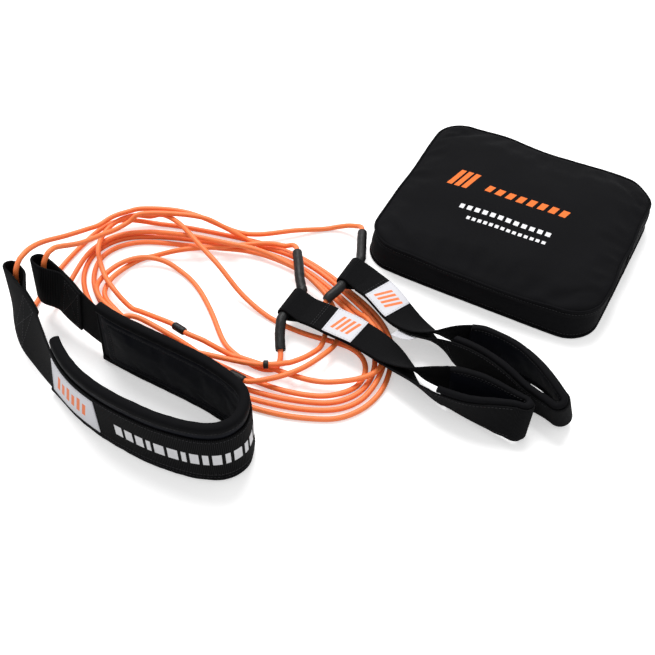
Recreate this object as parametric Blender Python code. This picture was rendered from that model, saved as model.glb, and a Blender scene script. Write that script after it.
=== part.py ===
"""Resistance sprint trainer: padded waist belt, two looped elastic cords, two hand straps and a zip pouch.

Metres, +Z up. The belt stands on its edge, the cords lie in a loose oval, the hand straps lie over them,
and the pouch lies behind. +X runs along the belt and the straps. The origin is on the floor, under the
middle of the box round everything but the cords.
"""

import math

import bmesh
import bpy
import numpy as np
from mathutils import Vector

# Clearances
GAP = 0.0003

# Elastic cords
CORD_DIAMETER = 0.006
CORD_PITCH = 0.007
CORD_NEAR_REACH = 4 * CORD_PITCH
CORD_TURN = math.radians(16)
CORD_LONGEST_STEP = 0.042
CORD_TEST_STEP = 0.004
CORD_ROUTE_STEP = 0.003
CORD_RISE = 0.30
CORD_CREST_RADIUS = 0.060
SPLICE_DIAMETER = 0.0092
SPLICE_BORE = 0.0070
SPLICE_EASE = 0.004
SPLICE_SETBACK = 0.0013
SPLICE_JOINT_GAP = 0.001
HOSE_DIAMETER = 0.0115
HOSE_BORE = 0.0074
TUBE_SIDES = 10

# Edge tapes and labels
TAPE_THICKNESS = 0.0011
BELT_TAPE_LEG = 0.008
STRAP_TAPE_LEG = 0.0034
LABEL_THICKNESS = 0.0008

# Waist belt
BELT_SPAN = 0.340
BELT_DEPTH = 0.130
BELT_NEAR_TURN = (0.0341, -0.2664)
BELT_WEBBING_WIDTH = 0.060
BELT_WEBBING_THICKNESS = 0.0024
BELT_LOW_MARGIN = 0.0019
BELT_TOP_MARGIN = 0.0079
BELT_WEBBING_LOW = TAPE_THICKNESS + BELT_TAPE_LEG + BELT_LOW_MARGIN
BELT_PAD_HEIGHT = BELT_WEBBING_LOW + BELT_WEBBING_WIDTH + BELT_TOP_MARGIN + BELT_TAPE_LEG + TAPE_THICKNESS
BELT_PAD_THICKNESS = 0.0075
BELT_PAD_FROM_TIP_A = 0.128
BELT_PAD_FROM_TIP_B = 0.112
BELT_LINING_THICKNESS = 0.0012
BELT_TIP_LIFT = 0.016
BELT_LEAN = math.radians(24)
BELT_TUNNEL_LENGTH = 0.040
BELT_TUNNEL_OPENING = 0.012
BELT_SEWN_LENGTH = 0.034
BELT_LABEL_LENGTH = 0.074
BELT_LABEL_HEIGHT = 0.052
BELT_LABEL_FROM_TIP = 0.136
BELT_STATION_STEP = 0.011
TUNNEL_ARC_STEPS = 5

# Hand straps
STRAP_1_HINGE = (-0.0269, -0.0674, 0.024)
STRAP_2_HINGE = (0.0081, 0.0056, 0.025)
STRAP_1_REACH = 0.290
STRAP_2_REACH = 0.300
STRAP_WEBBING_WIDTH = 0.038
STRAP_WEBBING_THICKNESS = 0.0021
STRAP_PAD_WIDTH = 0.0465
STRAP_PAD_THICKNESS = 0.0040
STRAP_TUNNEL_CLEARANCE = 0.0008
STRAP_STEP = 0.009
STRAP_JOINT_GAP = 0.0006
STRAP_LABEL_SIDE = 0.037
STRAP_1_LABEL_START = 0.032
STRAP_2_LABEL_START = 0.022
STRAP_1_PAD_START = 0.186
STRAP_2_PAD_START = 0.146
CARE_LABEL_START = 0.078
CARE_LABEL_LENGTH = 0.022
CARE_LABEL_REACH = 0.012
CARE_LABEL_LAP = 0.003
STRAP_TURN_STEPS = 7

# Zip pouch
POUCH_LENGTH = 0.284
POUCH_DEPTH = 0.252
POUCH_FRONT_LEFT = (-0.0049, 0.0511)
POUCH_CORNER = 0.034
POUCH_WALL = 0.0025
POUCH_SEAM_HEIGHT = 0.040
POUCH_CROWN = 0.0075
POUCH_ZIP_HEIGHT = 0.026
POUCH_ZIP_OPENING = 0.008
PIPING_DIAMETER = 0.0032
PIPING_SEAT = 0.003
PIPING_REBATE = 0.0016
CORNER_STEPS = 6
PIPING_SIDES = 8
ZIP_TAPE_THICKNESS = 0.0008
ZIP_TOOTH_HEIGHT = 0.0016
ZIP_TOOTH_DEPTH = 0.0017
ZIP_MIDDLE_GAP = 0.0012
ZIP_TAPE_FOOT = ZIP_MIDDLE_GAP / 2 + ZIP_TOOTH_HEIGHT + GAP
ZIP_TAPE_HEIGHT = POUCH_SEAM_HEIGHT - PIPING_DIAMETER - POUCH_ZIP_HEIGHT - ZIP_TAPE_FOOT
ZIP_SIDE_REACH = 0.110
ZIP_TAB_LENGTH = 0.012
SLIDER_LENGTH = 0.011
SLIDER_HEIGHT = 0.0086
SLIDER_PLATE = 0.0012
SLIDER_INNER_HEIGHT = 0.0062
SLIDER_NECK = 0.0006
BAIL_LENGTH = 0.0044
BAIL_WIDTH = 0.0016
BAIL_BAR = 0.0010
BAIL_REACH = 0.0030
PULLER_LENGTH = 0.024
PULLER_WIDTH = 0.0056
PULLER_THICKNESS = 0.0010
PULLER_HOLE_LENGTH = 0.0046
PULLER_HOLE_WIDTH = 0.0032

# Places that each run of cord passes, as x, y and, where it is held up, its least height
CORD_ROUTES = {
    "outer_turn": (
        (-0.2829, -0.0324), (-0.2589, -0.0184), (-0.2289, -0.0064), (-0.1979, 0.0016), (-0.1629, 0.0096),
        (-0.1269, 0.0166), (-0.0899, 0.0206), (-0.0489, 0.0166), (-0.0119, 0.0066), (0.0271, -0.0084),
        (0.0571, -0.0214), (0.0801, -0.0394), (0.0951, -0.0594), (0.1041, -0.0834), (0.1091, -0.1134),
        (0.1031, -0.1434), (0.0861, -0.1674), (0.0601, -0.1824), (0.0271, -0.1934), (-0.0129, -0.2004),
        (-0.0629, -0.2024), (-0.1129, -0.1994), (-0.1629, -0.1914), (-0.2079, -0.1784),
        (-0.2449, -0.1594), (-0.2689, -0.1384), (-0.2819, -0.1174), (-0.2869, -0.0954),
        (-0.2829, -0.0734), (-0.2709, -0.0554), (-0.2489, -0.0394), (-0.2229, -0.0274),
        (-0.1949, -0.0174), (-0.1629, -0.0074), (-0.1269, 0.0026), (-0.0899, 0.0066), (-0.0509, 0.0036),
        (-0.0179, -0.0064), (0.0201, -0.0204), (0.0491, -0.0344),
    ),
    "middle_turns": (
        (-0.1629, 0.0026), (-0.1269, 0.0096), (-0.0899, 0.0136), (-0.0499, 0.0101), (-0.0149, 0.0001),
        (0.0231, -0.0144), (0.0531, -0.0279), (0.0751, -0.0444), (0.0891, -0.0634), (0.0971, -0.0864),
        (0.1001, -0.1144), (0.0931, -0.1414), (0.0781, -0.1594), (0.0551, -0.1724), (0.0251, -0.1824),
        (-0.0129, -0.1904), (-0.0629, -0.1934), (-0.1129, -0.1904), (-0.1579, -0.1834),
        (-0.1979, -0.1714), (-0.2309, -0.1554), (-0.2549, -0.1364), (-0.2699, -0.1154),
        (-0.2759, -0.0954), (-0.2719, -0.0764), (-0.2609, -0.0604), (-0.2409, -0.0454),
        (-0.2169, -0.0354), (-0.1909, -0.0274), (-0.1589, -0.0174), (-0.1249, -0.0044),
        (-0.0899, -0.0004), (-0.0519, -0.0034), (-0.0209, -0.0134), (0.0161, -0.0274), (0.0451, -0.0404),
        (0.0651, -0.0554), (0.0791, -0.0714), (0.0891, -0.0914), (0.0921, -0.1154), (0.0851, -0.1374),
        (0.0701, -0.1534), (0.0491, -0.1644), (0.0211, -0.1734), (-0.0149, -0.1804), (-0.0629, -0.1834),
        (-0.1079, -0.1804), (-0.1479, -0.1744), (-0.1879, -0.1654), (-0.2159, -0.1564),
        (-0.2329, -0.1464), (-0.2399, -0.1294), (-0.2409, -0.1054), (-0.2359, -0.0804),
        (-0.2229, -0.0634), (-0.1979, -0.0484), (-0.1729, -0.0324), (-0.1459, -0.0144),
        (-0.1209, 0.0036), (-0.1029, 0.0146, 0.005), (-0.0869, 0.0191, 0.013), (-0.0749, 0.0181, 0.021),
        (-0.0674, 0.0121, 0.0255),
    ),
    "inner_slot": (
        (-0.0579, -0.0104), (-0.0899, -0.0074), (-0.1249, -0.0114), (-0.1609, -0.0204),
        (-0.1929, -0.0274), (-0.2229, -0.0314), (-0.2509, -0.0394), (-0.2739, -0.0574),
        (-0.2859, -0.0814), (-0.2879, -0.1074), (-0.2819, -0.1354), (-0.2757, -0.1584),
        (-0.2743, -0.1724, 0.0036), (-0.2741, -0.1814, 0.006), (-0.2745, -0.1882, 0.0105),
        (-0.2749, -0.1912, 0.016),
    ),
    "lower_hose_run": (
        (-0.0054, -0.1319, 0.0085), (-0.0044, -0.1404, 0.0055), (-0.0089, -0.1474), (-0.0189, -0.1504),
        (-0.0329, -0.1504), (-0.0499, -0.1474), (-0.0719, -0.1394), (-0.0929, -0.1234),
        (-0.1159, -0.1024), (-0.1379, -0.0864), (-0.1629, -0.0734), (-0.1859, -0.0674),
        (-0.2089, -0.0684), (-0.2289, -0.0764), (-0.2429, -0.0924), (-0.2499, -0.1144),
        (-0.2489, -0.1364), (-0.2379, -0.1514), (-0.2179, -0.1614), (-0.1879, -0.1694),
        (-0.1479, -0.1754), (-0.1079, -0.1774), (-0.0749, -0.1774, 0.009), (-0.0469, -0.1754, 0.011),
    ),
    "crossing_run": (
        (-0.1339, -0.1524, 0.0185), (-0.1609, -0.1509, 0.014), (-0.1879, -0.1484, 0.009),
        (-0.2079, -0.1444), (-0.2249, -0.1384), (-0.2409, -0.1294), (-0.2579, -0.1154),
        (-0.2749, -0.0994), (-0.2849, -0.0814), (-0.2889, -0.0614), (-0.2859, -0.0414),
        (-0.2719, -0.0244), (-0.2469, -0.0154), (-0.2209, -0.0174), (-0.1979, -0.0254),
        (-0.1679, -0.0404), (-0.1379, -0.0534), (-0.1009, -0.0684), (-0.0669, -0.0784),
        (-0.0329, -0.0834), (-0.0029, -0.0834), (0.0291, -0.0784), (0.0551, -0.0764), (0.0731, -0.0844),
        (0.0831, -0.0994), (0.0841, -0.1194), (0.0761, -0.1374), (0.0591, -0.1524), (0.0271, -0.1644),
        (-0.0079, -0.1684), (-0.0399, -0.1669), (-0.0729, -0.1669), (-0.1129, -0.1674),
        (-0.1479, -0.1654), (-0.1729, -0.1644), (-0.1869, -0.1714), (-0.1889, -0.1854),
        (-0.1769, -0.1964), (-0.1529, -0.1974), (-0.1229, -0.1874), (-0.0879, -0.1734),
        (-0.0579, -0.1654, 0.013), (-0.0349, -0.1604, 0.017), (-0.0179, -0.1564, 0.0185),
    ),
    "top_crossing": (
        (0.0491, -0.0344), (0.0701, -0.0494), (0.0831, -0.0654), (0.0931, -0.0794), (0.0981, -0.0934),
        (0.0931, -0.1074), (0.0791, -0.1214), (0.0571, -0.1354), (0.0301, -0.1444), (0.0041, -0.1464),
        (-0.0229, -0.1494), (-0.0519, -0.1524), (-0.0829, -0.1564, 0.018), (-0.1069, -0.1574, 0.0195),
    ),
    "under_strap": (
        (-0.0169, -0.1784), (-0.0029, -0.1704), (0.0111, -0.1574), (0.0251, -0.1374), (0.0351, -0.1134),
        (0.0381, -0.0884), (0.0331, -0.0654), (0.0201, -0.0474), (-0.0009, -0.0314), (-0.0239, -0.0194),
        (-0.0579, -0.0104),
    ),
    "belt_low_start": (
        (-0.2888, -0.2196, 0.016), (-0.2895, -0.2164, 0.0105), (-0.2909, -0.2099, 0.006),
        (-0.2929, -0.2014, 0.0036), (-0.2959, -0.1904), (-0.3019, -0.1644), (-0.3069, -0.1344),
        (-0.3089, -0.1034), (-0.3069, -0.0714), (-0.2969, -0.0474), (-0.2829, -0.0324),
    ),
    "belt_high_start": (
        (-0.2648, -0.189, 0.084), (-0.2639, -0.1844, 0.0886), (-0.2639, -0.1774, 0.0902),
        (-0.2644, -0.1674, 0.087), (-0.2659, -0.1544, 0.078), (-0.2689, -0.1344, 0.062),
        (-0.2719, -0.1124, 0.047), (-0.2749, -0.0894, 0.035), (-0.2749, -0.0654, 0.024),
        (-0.2639, -0.0394, 0.014), (-0.2349, -0.0194, 0.006), (-0.1979, -0.0054), (-0.1629, 0.0026),
    ),
    "long_high_run": (
        (-0.0189, 0.0846, 0.02), (-0.0289, 0.0896, 0.014), (-0.0449, 0.0886, 0.008), (-0.0669, 0.0756),
        (-0.0899, 0.0556), (-0.1149, 0.0316), (-0.1409, 0.0156), (-0.1689, 0.0076), (-0.1959, 0.0046),
        (-0.2229, -0.0004), (-0.2509, -0.0114, 0.005), (-0.2749, -0.0254, 0.008),
        (-0.2909, -0.0464, 0.014), (-0.2979, -0.0734, 0.026), (-0.2939, -0.1044, 0.043),
        (-0.2919, -0.1344, 0.062), (-0.2894, -0.1594, 0.078), (-0.2869, -0.1784, 0.088),
        (-0.2844, -0.1924, 0.092), (-0.2829, -0.2034, 0.092), (-0.2825, -0.2099, 0.0895),
        (-0.2826, -0.2138, 0.0855),
    ),
    "short_hose_run": (
        (-0.0039, -0.1484, 0.0185), (0.0071, -0.1394), (0.0171, -0.1254), (0.0241, -0.1074),
        (0.0251, -0.0904), (0.0201, -0.0754, 0.008), (0.0116, -0.0634, 0.013), (0.0066, -0.0534, 0.017),
        (0.0041, -0.0472, 0.0193),
    ),
}
# The cords inside the hoses and the belt's tunnels
FIXED_STRETCHES = {
    "hose_1": (
        (-0.0619, 0.0046, 0.027), (-0.0509, -0.0114, 0.0275), (-0.0399, -0.0284, 0.0265),
        (-0.0309, -0.0404, 0.0246),
        (-0.0269, -0.0474, 0.024), (-0.0269, -0.0874, 0.024), (-0.0249, -0.0964, 0.0225),
        (-0.0189, -0.1094, 0.0175),
        (-0.0099, -0.1234, 0.012),
    ),
    "hose_2": (
        (-0.0119, 0.0736, 0.024), (-0.0029, 0.0546, 0.0245), (0.0051, 0.0376, 0.025),
        (0.0081, 0.0266, 0.025),
        (0.0081, -0.0154, 0.025), (0.0071, -0.0254, 0.0248), (0.0041, -0.0354, 0.0235),
        (0.0026, -0.0424, 0.021),
    ),
    "tunnel_a": ((-0.2829, -0.2152, 0.080), (-0.2884, -0.2201, 0.022)),
    "tunnel_b": ((-0.2749, -0.1918, 0.024), (-0.2657, -0.1906, 0.078)),
}

# The belt's middle line from tip A by way of the near turn to tip B: back from the turn, behind it,
# tip lift and inward lean of the top
BELT_ROUTE_SHARES = (
    (0.985, 0.385, 1.00, 0.00), (0.903, 0.254, 0.81, 0.67), (0.821, 0.115, 0.56, 1.00),
    (0.732, -0.015, 0.31, 0.67), (0.638, -0.138, 0.12, 0.25), (0.535, -0.246, 0.03, 0.06),
    (0.426, -0.300, 0.00, 0.00), (0.315, -0.319, 0.00, 0.00), (0.197, -0.304, 0.00, 0.00),
    (0.097, -0.246, 0.00, 0.00), (0.029, -0.146, 0.00, 0.00), (0.000, 0.000, 0.00, 0.00),
    (0.009, 0.146, 0.00, 0.00), (0.035, 0.254, 0.00, 0.00), (0.085, 0.323, 0.00, 0.00),
    (0.153, 0.369, 0.00, 0.00), (0.241, 0.396, 0.00, 0.00), (0.344, 0.404, 0.00, 0.00),
    (0.447, 0.412, 0.00, 0.00), (0.535, 0.419, 0.02, 0.00), (0.624, 0.442, 0.06, -0.08),
    (0.712, 0.492, 0.25, -0.21), (0.785, 0.546, 0.50, -0.38), (0.859, 0.608, 0.75, -0.29),
    (0.924, 0.669, 0.94, 0.00),
)
# Each strap's middle line from its tunnel: along, behind, height, lean of the far and near layers, opening
STRAP_1_SHARES = (
    (0.062, -0.002, 0.516, 0.00, 0.00, 0.00), (0.152, -0.007, 0.527, 0.00, 0.00, 0.00),
    (0.234, -0.012, 0.527, 0.00, 0.00, 0.00), (0.303, -0.017, 0.516, 0.03, 0.03, 0.00),
    (0.372, -0.028, 0.495, 0.09, 0.09, 0.00), (0.441, -0.045, 0.462, 0.20, 0.19, 0.06),
    (0.510, -0.069, 0.441, 0.44, 0.40, 0.13), (0.572, -0.088, 0.441, 0.71, 0.60, 0.26),
    (0.641, -0.097, 0.505, 0.93, 0.71, 0.45), (0.721, -0.097, 0.559, 1.07, 0.76, 0.62),
    (0.807, -0.095, 0.568, 1.12, 0.87, 0.71), (0.893, -0.093, 0.566, 1.16, 1.07, 0.65),
    (0.962, -0.093, 0.563, 1.20, 1.22, 0.52),
)
STRAP_2_SHARES = (
    (0.063, -0.007, 0.548, 0.00, 0.00, 0.00), (0.127, -0.030, 0.538, 0.00, 0.00, 0.00),
    (0.187, -0.058, 0.516, 0.00, 0.00, 0.00), (0.243, -0.087, 0.484, 0.04, 0.04, 0.00),
    (0.303, -0.108, 0.441, 0.17, 0.16, 0.05), (0.363, -0.120, 0.419, 0.36, 0.33, 0.11),
    (0.423, -0.127, 0.441, 0.60, 0.56, 0.22), (0.483, -0.130, 0.523, 0.87, 0.82, 0.47),
    (0.557, -0.133, 0.585, 1.09, 1.02, 0.77), (0.637, -0.140, 0.598, 1.09, 1.07, 0.90),
    (0.717, -0.153, 0.585, 1.02, 1.02, 0.92), (0.797, -0.175, 0.576, 0.89, 0.89, 0.82),
    (0.870, -0.203, 0.576, 0.81, 0.81, 0.65), (0.923, -0.230, 0.572, 0.80, 0.80, 0.47),
)
# A tip's tunnel from its sewn end to its full opening: lengths from the tip and how far it stands open
TUNNEL_SHARES = ((1.0, 0.0), (0.84, 0.14), (0.68, 0.52), (0.52, 0.88), (0.38, 1.0))
# Angles of the strap's turn round the hose, in half turns
STRAP_TUNNEL_TURN_SHARES = (0.39, 0.54, 0.69, 0.85, 1.0, 1.15, 1.31, 1.46, 1.61)
# The tightest corner an inset outline keeps, and how near a station may lie to a band's end
TIGHT_CORNER_SHARE = 0.12
NEAR_STATION_SHARE = 0.05
# The lid's top from its seam to its middle: how far in, and how high
CROWN_SHARES = ((0.08, 0.30), (0.22, 0.62), (0.45, 0.88), (0.75, 1.0))

# The order in which the runs of cord were laid, lowest first
LAYING_ORDER = (
    "outer_turn", "belt_low_start", "middle_turns", "inner_slot", "lower_hose_run",
    "crossing_run", "top_crossing", "under_strap", "belt_high_start", "long_high_run", "short_hose_run",
)
# Each cord as the runs and fixed stretches that follow one another, with True where one is walked backwards
CORD_1_CHAIN = (
    ("under_strap", False), ("inner_slot", False), ("tunnel_b", False), ("belt_high_start", False),
    ("middle_turns", False), ("hose_1", False), ("lower_hose_run", False),
)
CORD_2_CHAIN = (
    ("short_hose_run", False), ("hose_2", True), ("long_high_run", False), ("tunnel_a", False),
    ("belt_low_start", False), ("outer_turn", False), ("top_crossing", False),
)
CORD_2_SHORT_CHAIN = (("crossing_run", False),)


def clear_scene():
    """Removes what the scene holds."""
    for item in list(bpy.data.objects):
        bpy.data.objects.remove(item, do_unlink=True)


def finish(name, colour, roughness, metallic=0.0):
    """Makes one piece's own material."""
    made = bpy.data.materials.new(name + "_finish")
    made.use_nodes = True
    shader = made.node_tree.nodes["Principled BSDF"]
    shader.inputs["Base Color"].default_value = (*colour, 1.0)
    shader.inputs["Roughness"].default_value = roughness
    shader.inputs["Metallic"].default_value = metallic
    return made


def webbing_finish(name):
    return finish(name, (0.018, 0.018, 0.020), 0.85)


def neoprene_finish(name):
    return finish(name, (0.012, 0.014, 0.020), 0.6)


def tape_finish(name):
    return finish(name, (0.022, 0.022, 0.026), 0.75)


def pouch_finish(name):
    return finish(name, (0.016, 0.016, 0.017), 0.8)


def label_finish(name):
    return finish(name, (0.85, 0.85, 0.87), 0.55)


def cord_finish(name):
    return finish(name, (0.95, 0.20, 0.045), 0.55)


def rubber_finish(name):
    return finish(name, (0.045, 0.042, 0.042), 0.45)


def metal_finish(name):
    return finish(name, (0.05, 0.05, 0.055), 0.35, 0.9)


def add_object(name, mesh, look, origin=None):
    """Puts a mesh in the scene, with its origin moved to a joint's axis where one is given."""
    piece = bpy.data.objects.new(name, mesh)
    bpy.context.scene.collection.objects.link(piece)
    mesh.materials.append(look)
    if origin is not None:
        place = Vector(origin)
        for vertex in mesh.vertices:
            vertex.co -= place
        piece.location = place
    mesh.set_sharp_from_angle(angle=math.radians(40))
    return piece


def loft(name, rings, look, origin=None, closed=False, slants=None):
    """Joins rings of points in order and caps both ends, or joins the last ring to the first.

    Where slants are given, they say for each pair of rings and each side which way its quad is split.
    """
    work = bmesh.new()
    rows = [[work.verts.new(point) for point in ring] for ring in rings]
    count = len(rows[0])
    pairs = list(zip(rows, rows[1:]))
    if closed:
        pairs.append((rows[-1], rows[0]))
    for k, (low, high) in enumerate(pairs):
        for i in range(count):
            j = (i + 1) % count
            if slants is None:
                work.faces.new((low[i], low[j], high[j], high[i]))
            elif slants[k][i]:
                work.faces.new((low[i], low[j], high[j]))
                work.faces.new((low[i], high[j], high[i]))
            else:
                work.faces.new((low[i], low[j], high[i]))
                work.faces.new((low[j], high[j], high[i]))
    if not closed:
        work.faces.new(list(reversed(rows[0])))
        work.faces.new(rows[-1])
    wide = [face for face in work.faces if len(face.verts) > 4]
    bmesh.ops.triangulate(work, faces=wide, ngon_method="BEAUTY")
    bmesh.ops.recalc_face_normals(work, faces=work.faces)
    if work.calc_volume(signed=True) < 0:
        bmesh.ops.reverse_faces(work, faces=work.faces)
    mesh = bpy.data.meshes.new(name)
    work.to_mesh(mesh)
    work.free()
    mesh.shade_smooth()
    return add_object(name, mesh, look, origin)


def flat_section(width, thickness, across=0.0, through=0.0):
    """A band's section, a rectangle, as pairs of across and through."""
    w, t = width / 2, thickness / 2
    return [(across + a, through + b) for a, b in ((-w, -t), (w, -t), (w, t), (-w, t))]


def eased_section(width, thickness, across=0.0, through=0.0, outer=(), inner=()):
    """A pad's section: long edges eased, and its neighbours' edges marked on its two faces."""
    w, t = width / 2, thickness / 2
    c = t / 2
    low = [(across - w, through - t + c), (across - w + c, through - t)]
    low += [(a, through - t) for a in sorted(inner)]
    low += [(across + w - c, through - t), (across + w, through - t + c)]
    high = [(across + w, through + t - c), (across + w - c, through + t)]
    high += [(a, through + t) for a in sorted(outer, reverse=True)]
    high += [(across - w + c, through + t), (across - w, through + t - c)]
    return low + high


def channel_section(inner, leg, wall, edge, side, through=0.0):
    """A folded tape's section round a pad's edge: a channel with its floor beyond the edge."""
    h = inner / 2
    corners = [(-leg, -h - wall), (wall, -h - wall), (wall, h + wall), (-leg, h + wall)]
    corners += [(-leg, h), (0, h), (0, -h), (-leg, -h)]
    return [(side * (edge + a), through + b) for a, b in corners]


def round_section(diameter, sides):
    angles = [math.tau * i / sides for i in range(sides)]
    return [(diameter / 2 * math.cos(angle), diameter / 2 * math.sin(angle)) for angle in angles]


def tangents(path, closed=False):
    """Unit directions along a path."""
    out = []
    last = len(path) - 1
    for i, point in enumerate(path):
        before = path[i - 1] if i > 0 or closed else point
        after = path[(i + 1) % len(path)] if i < last or closed else point
        out.append((after - before).normalized())
    return out


def frames_along(path, across, closed=False):
    """A band's place, width direction and face direction at each point of its middle line."""
    out = []
    for point, along, width in zip(path, tangents(path, closed), across):
        side = (width - along * width.dot(along)).normalized()
        out.append((point, side, along.cross(side)))
    return out


def ring_at(frames, position, section):
    """A section's ring at a position counted in frames, on the flat facets between two of them."""
    low = max(0, min(int(position), len(frames) - 2))
    pair = frames[low:low + 2]
    start, end = ([place + side * a + face * b for a, b in section] for place, side, face in pair)
    return [first.lerp(second, position - low) for first, second in zip(start, end)]


def slants_of(section, turned):
    """Which way each quad of a band is split, so that layers laid on one another are split alike."""
    rises = [section[(i + 1) % len(section)] > section[i] for i in range(len(section))]
    return [[rise != back for rise in rises] for back in turned]


def band(name, frames, section, look, first=0.0, last=None, origin=None, turned=None):
    """A band of one section along frames, from one position to another."""
    last = len(frames) - 1.0 if last is None else last
    near = NEAR_STATION_SHARE
    between = [float(i) for i in range(len(frames)) if first + near < i < last - near]
    places = [first] + between + [last]
    rings = [ring_at(frames, place, section) for place in places]
    flags = [bool(turned and turned[min(int(place), len(turned) - 1)]) for place in places[:-1]]
    return loft(name, rings, look, origin, slants=slants_of(section, flags))


def closed_band(name, path, section, look, origin=None):
    """A ring-shaped band along a closed path in a level plane."""
    frames = frames_along(path, [Vector((0, 0, 1))] * len(path), True)
    rings = [[place + side * a + face * b for a, b in section] for place, side, face in frames]
    return loft(name, rings, look, origin, closed=True)


def curve_through(points, step=CORD_ROUTE_STEP):
    """A smooth curve through a route's points, as rows of x, y, z (no height given is zero)."""
    rows = np.array([(p[0], p[1], p[2] if len(p) > 2 else 0.0) for p in points])
    rows = np.vstack([2 * rows[0] - rows[1], rows, 2 * rows[-1] - rows[-2]])
    out = []
    for before, start, end, after in zip(rows, rows[1:], rows[2:], rows[3:]):
        pairs = ((before, start), (start, end), (end, after))
        first, span, last = [math.sqrt(np.linalg.norm((b - a)[:2])) for a, b in pairs]
        leave = (end - start) + span * ((start - before) / first - (end - before) / (first + span))
        reach = (end - start) + span * ((after - end) / last - (after - start) / (span + last))
        count = max(2, int(np.linalg.norm((end - start)[:2]) / step))
        for t in np.arange(count) / count:
            out.append(
                (2 * t**3 - 3 * t**2 + 1) * start + (t**3 - 2 * t**2 + t) * leave
                + (3 * t**2 - 2 * t**3) * end + (t**3 - t**2) * reach
            )
    out.append(rows[-2])
    return np.array(out)


def corners_of(curve):
    """The curve's points that the tube keeps: one each time it has turned enough or gone far enough."""
    keep = [0]
    turned = gone = 0.0
    for i in range(1, len(curve) - 1):
        back, on = curve[i] - curve[i - 1], curve[i + 1] - curve[i]
        cosine = back @ on / (np.linalg.norm(back) * np.linalg.norm(on))
        turned += math.acos(max(-1.0, min(1.0, cosine)))
        gone += np.linalg.norm(back)
        if turned >= CORD_TURN or gone >= CORD_LONGEST_STEP:
            keep.append(i)
            turned = gone = 0.0
    if gone < CORD_LONGEST_STEP / 4 and len(keep) > 1:
        keep.pop()
    return curve[keep + [len(curve) - 1]]


def filled_in(points):
    """Closely spaced points on straight lines between the points, with each one's place in the list."""
    out, where = [], []
    for i, (start, end) in enumerate(zip(points, points[1:])):
        count = max(1, int(np.linalg.norm(end - start) / CORD_TEST_STEP))
        for k in range(count):
            out.append(start + (end - start) * k / count)
            where.append(i + k / count)
    out.append(points[-1])
    where.append(len(points) - 1.0)
    return np.array(out), np.array(where)


def height_over(plan_distance, height):
    """The least height of a cord's middle over another at a plan distance, zero where they are clear."""
    lift = np.sqrt(np.maximum(CORD_PITCH**2 - plan_distance**2, 0))
    return np.where(plan_distance < CORD_PITCH, height + lift, 0)


def plan_distances(points, others):
    return np.hypot(points[:, 0, None] - others[None, :, 0], points[:, 1, None] - others[None, :, 1])


def lay(points, laid):
    """Lifts a run in long low humps over the cords already laid and over its own earlier turns."""
    least = np.maximum(points[:, 2], CORD_DIAMETER / 2)
    fine, where = filled_in(np.c_[points[:, :2], least])
    need = np.zeros(len(fine))
    if len(laid):
        need = height_over(plan_distances(fine, laid), laid[None, :, 2]).max(axis=1)
    steps = np.linalg.norm(np.diff(fine[:, :2], axis=0), axis=1)
    along = np.concatenate([[0], np.cumsum(steps)])
    apart = np.abs(along[:, None] - along[None, :])
    crest = CORD_RISE * CORD_CREST_RADIUS
    fall = np.where(apart < crest, apart**2 / (2 * CORD_CREST_RADIUS), CORD_RISE * (apart - crest / 2))
    plan = plan_distances(fine, fine)
    earlier = along[:, None] > along[None, :] + CORD_NEAR_REACH
    for _ in range(12):
        eased = (need[None, :] - fall).max(axis=1)
        short = np.where(eased > np.interp(where, np.arange(len(points)), least), eased, 0)
        heights = np.array([max(low, short[np.abs(where - i) <= 1].max()) for i, low in enumerate(least)])
        level = np.interp(where, np.arange(len(points)), heights)
        again = np.where(earlier, height_over(plan, level[None, :]), 0).max(axis=1)
        if (again <= level + GAP / 1000).all():
            break
        need = np.maximum(need, again)
    return np.c_[points[:, :2], heights]


def lay_all_runs():
    """Every run of cord with its heights, lowest first, and the fixed stretches in hoses and tunnels."""
    placed = {name: np.array(points) for name, points in FIXED_STRETCHES.items()}
    laid = np.zeros((0, 3))
    for name in LAYING_ORDER:
        placed[name] = lay(corners_of(curve_through(CORD_ROUTES[name])), laid)
        laid = np.vstack([laid, filled_in(placed[name])[0]])
    return placed


def chain_points(chain, placed):
    """One cord's points, from its runs and fixed stretches in order."""
    out = []
    for name, backwards in chain:
        run = placed[name][::-1] if backwards else placed[name]
        for point in run:
            if out and np.linalg.norm(out[-1][:2] - point[:2]) < GAP:
                out[-1] = np.maximum(out[-1], point * (0, 0, 1)) * (0, 0, 1) + out[-1] * (1, 1, 0)
                continue
            out.append(point)
    return np.array(out)


def clear_run(points):
    """A tube's fine route and lengths, less its two ends, which meet others inside the ferrules."""
    fine, _ = filled_in(points)
    along = np.concatenate([[0], np.cumsum(np.linalg.norm(np.diff(fine, axis=0), axis=1))])
    kept = (along > CORD_NEAR_REACH) & (along < along[-1] - CORD_NEAR_REACH)
    return fine[kept], along[kept]


def least_gap(points, others=None):
    """The least clear gap from a tube to itself, past its own bends, or to another tube."""
    fine, along = clear_run(points)
    other = fine if others is None else clear_run(others)[0]
    apart = np.linalg.norm(fine[:, None, :] - other[None, :, :], axis=2)
    if others is None:
        apart[np.abs(along[:, None] - along[None, :]) < CORD_NEAR_REACH] = CORD_LONGEST_STEP
    return apart.min() - CORD_DIAMETER


def cord_tube(name, points):
    """A cord: a poly curve with a round bevel and filled ends."""
    data = bpy.data.curves.new(name, "CURVE")
    data.dimensions = "3D"
    data.bevel_depth = CORD_DIAMETER / 2
    data.bevel_resolution = 1
    data.use_fill_caps = True
    spline = data.splines.new("POLY")
    spline.points.add(len(points) - 1)
    for slot, point in zip(spline.points, points):
        slot.co = (*point, 1.0)
    piece = bpy.data.objects.new(name, data)
    bpy.context.scene.collection.objects.link(piece)
    data.materials.append(cord_finish(name))
    return piece


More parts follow.
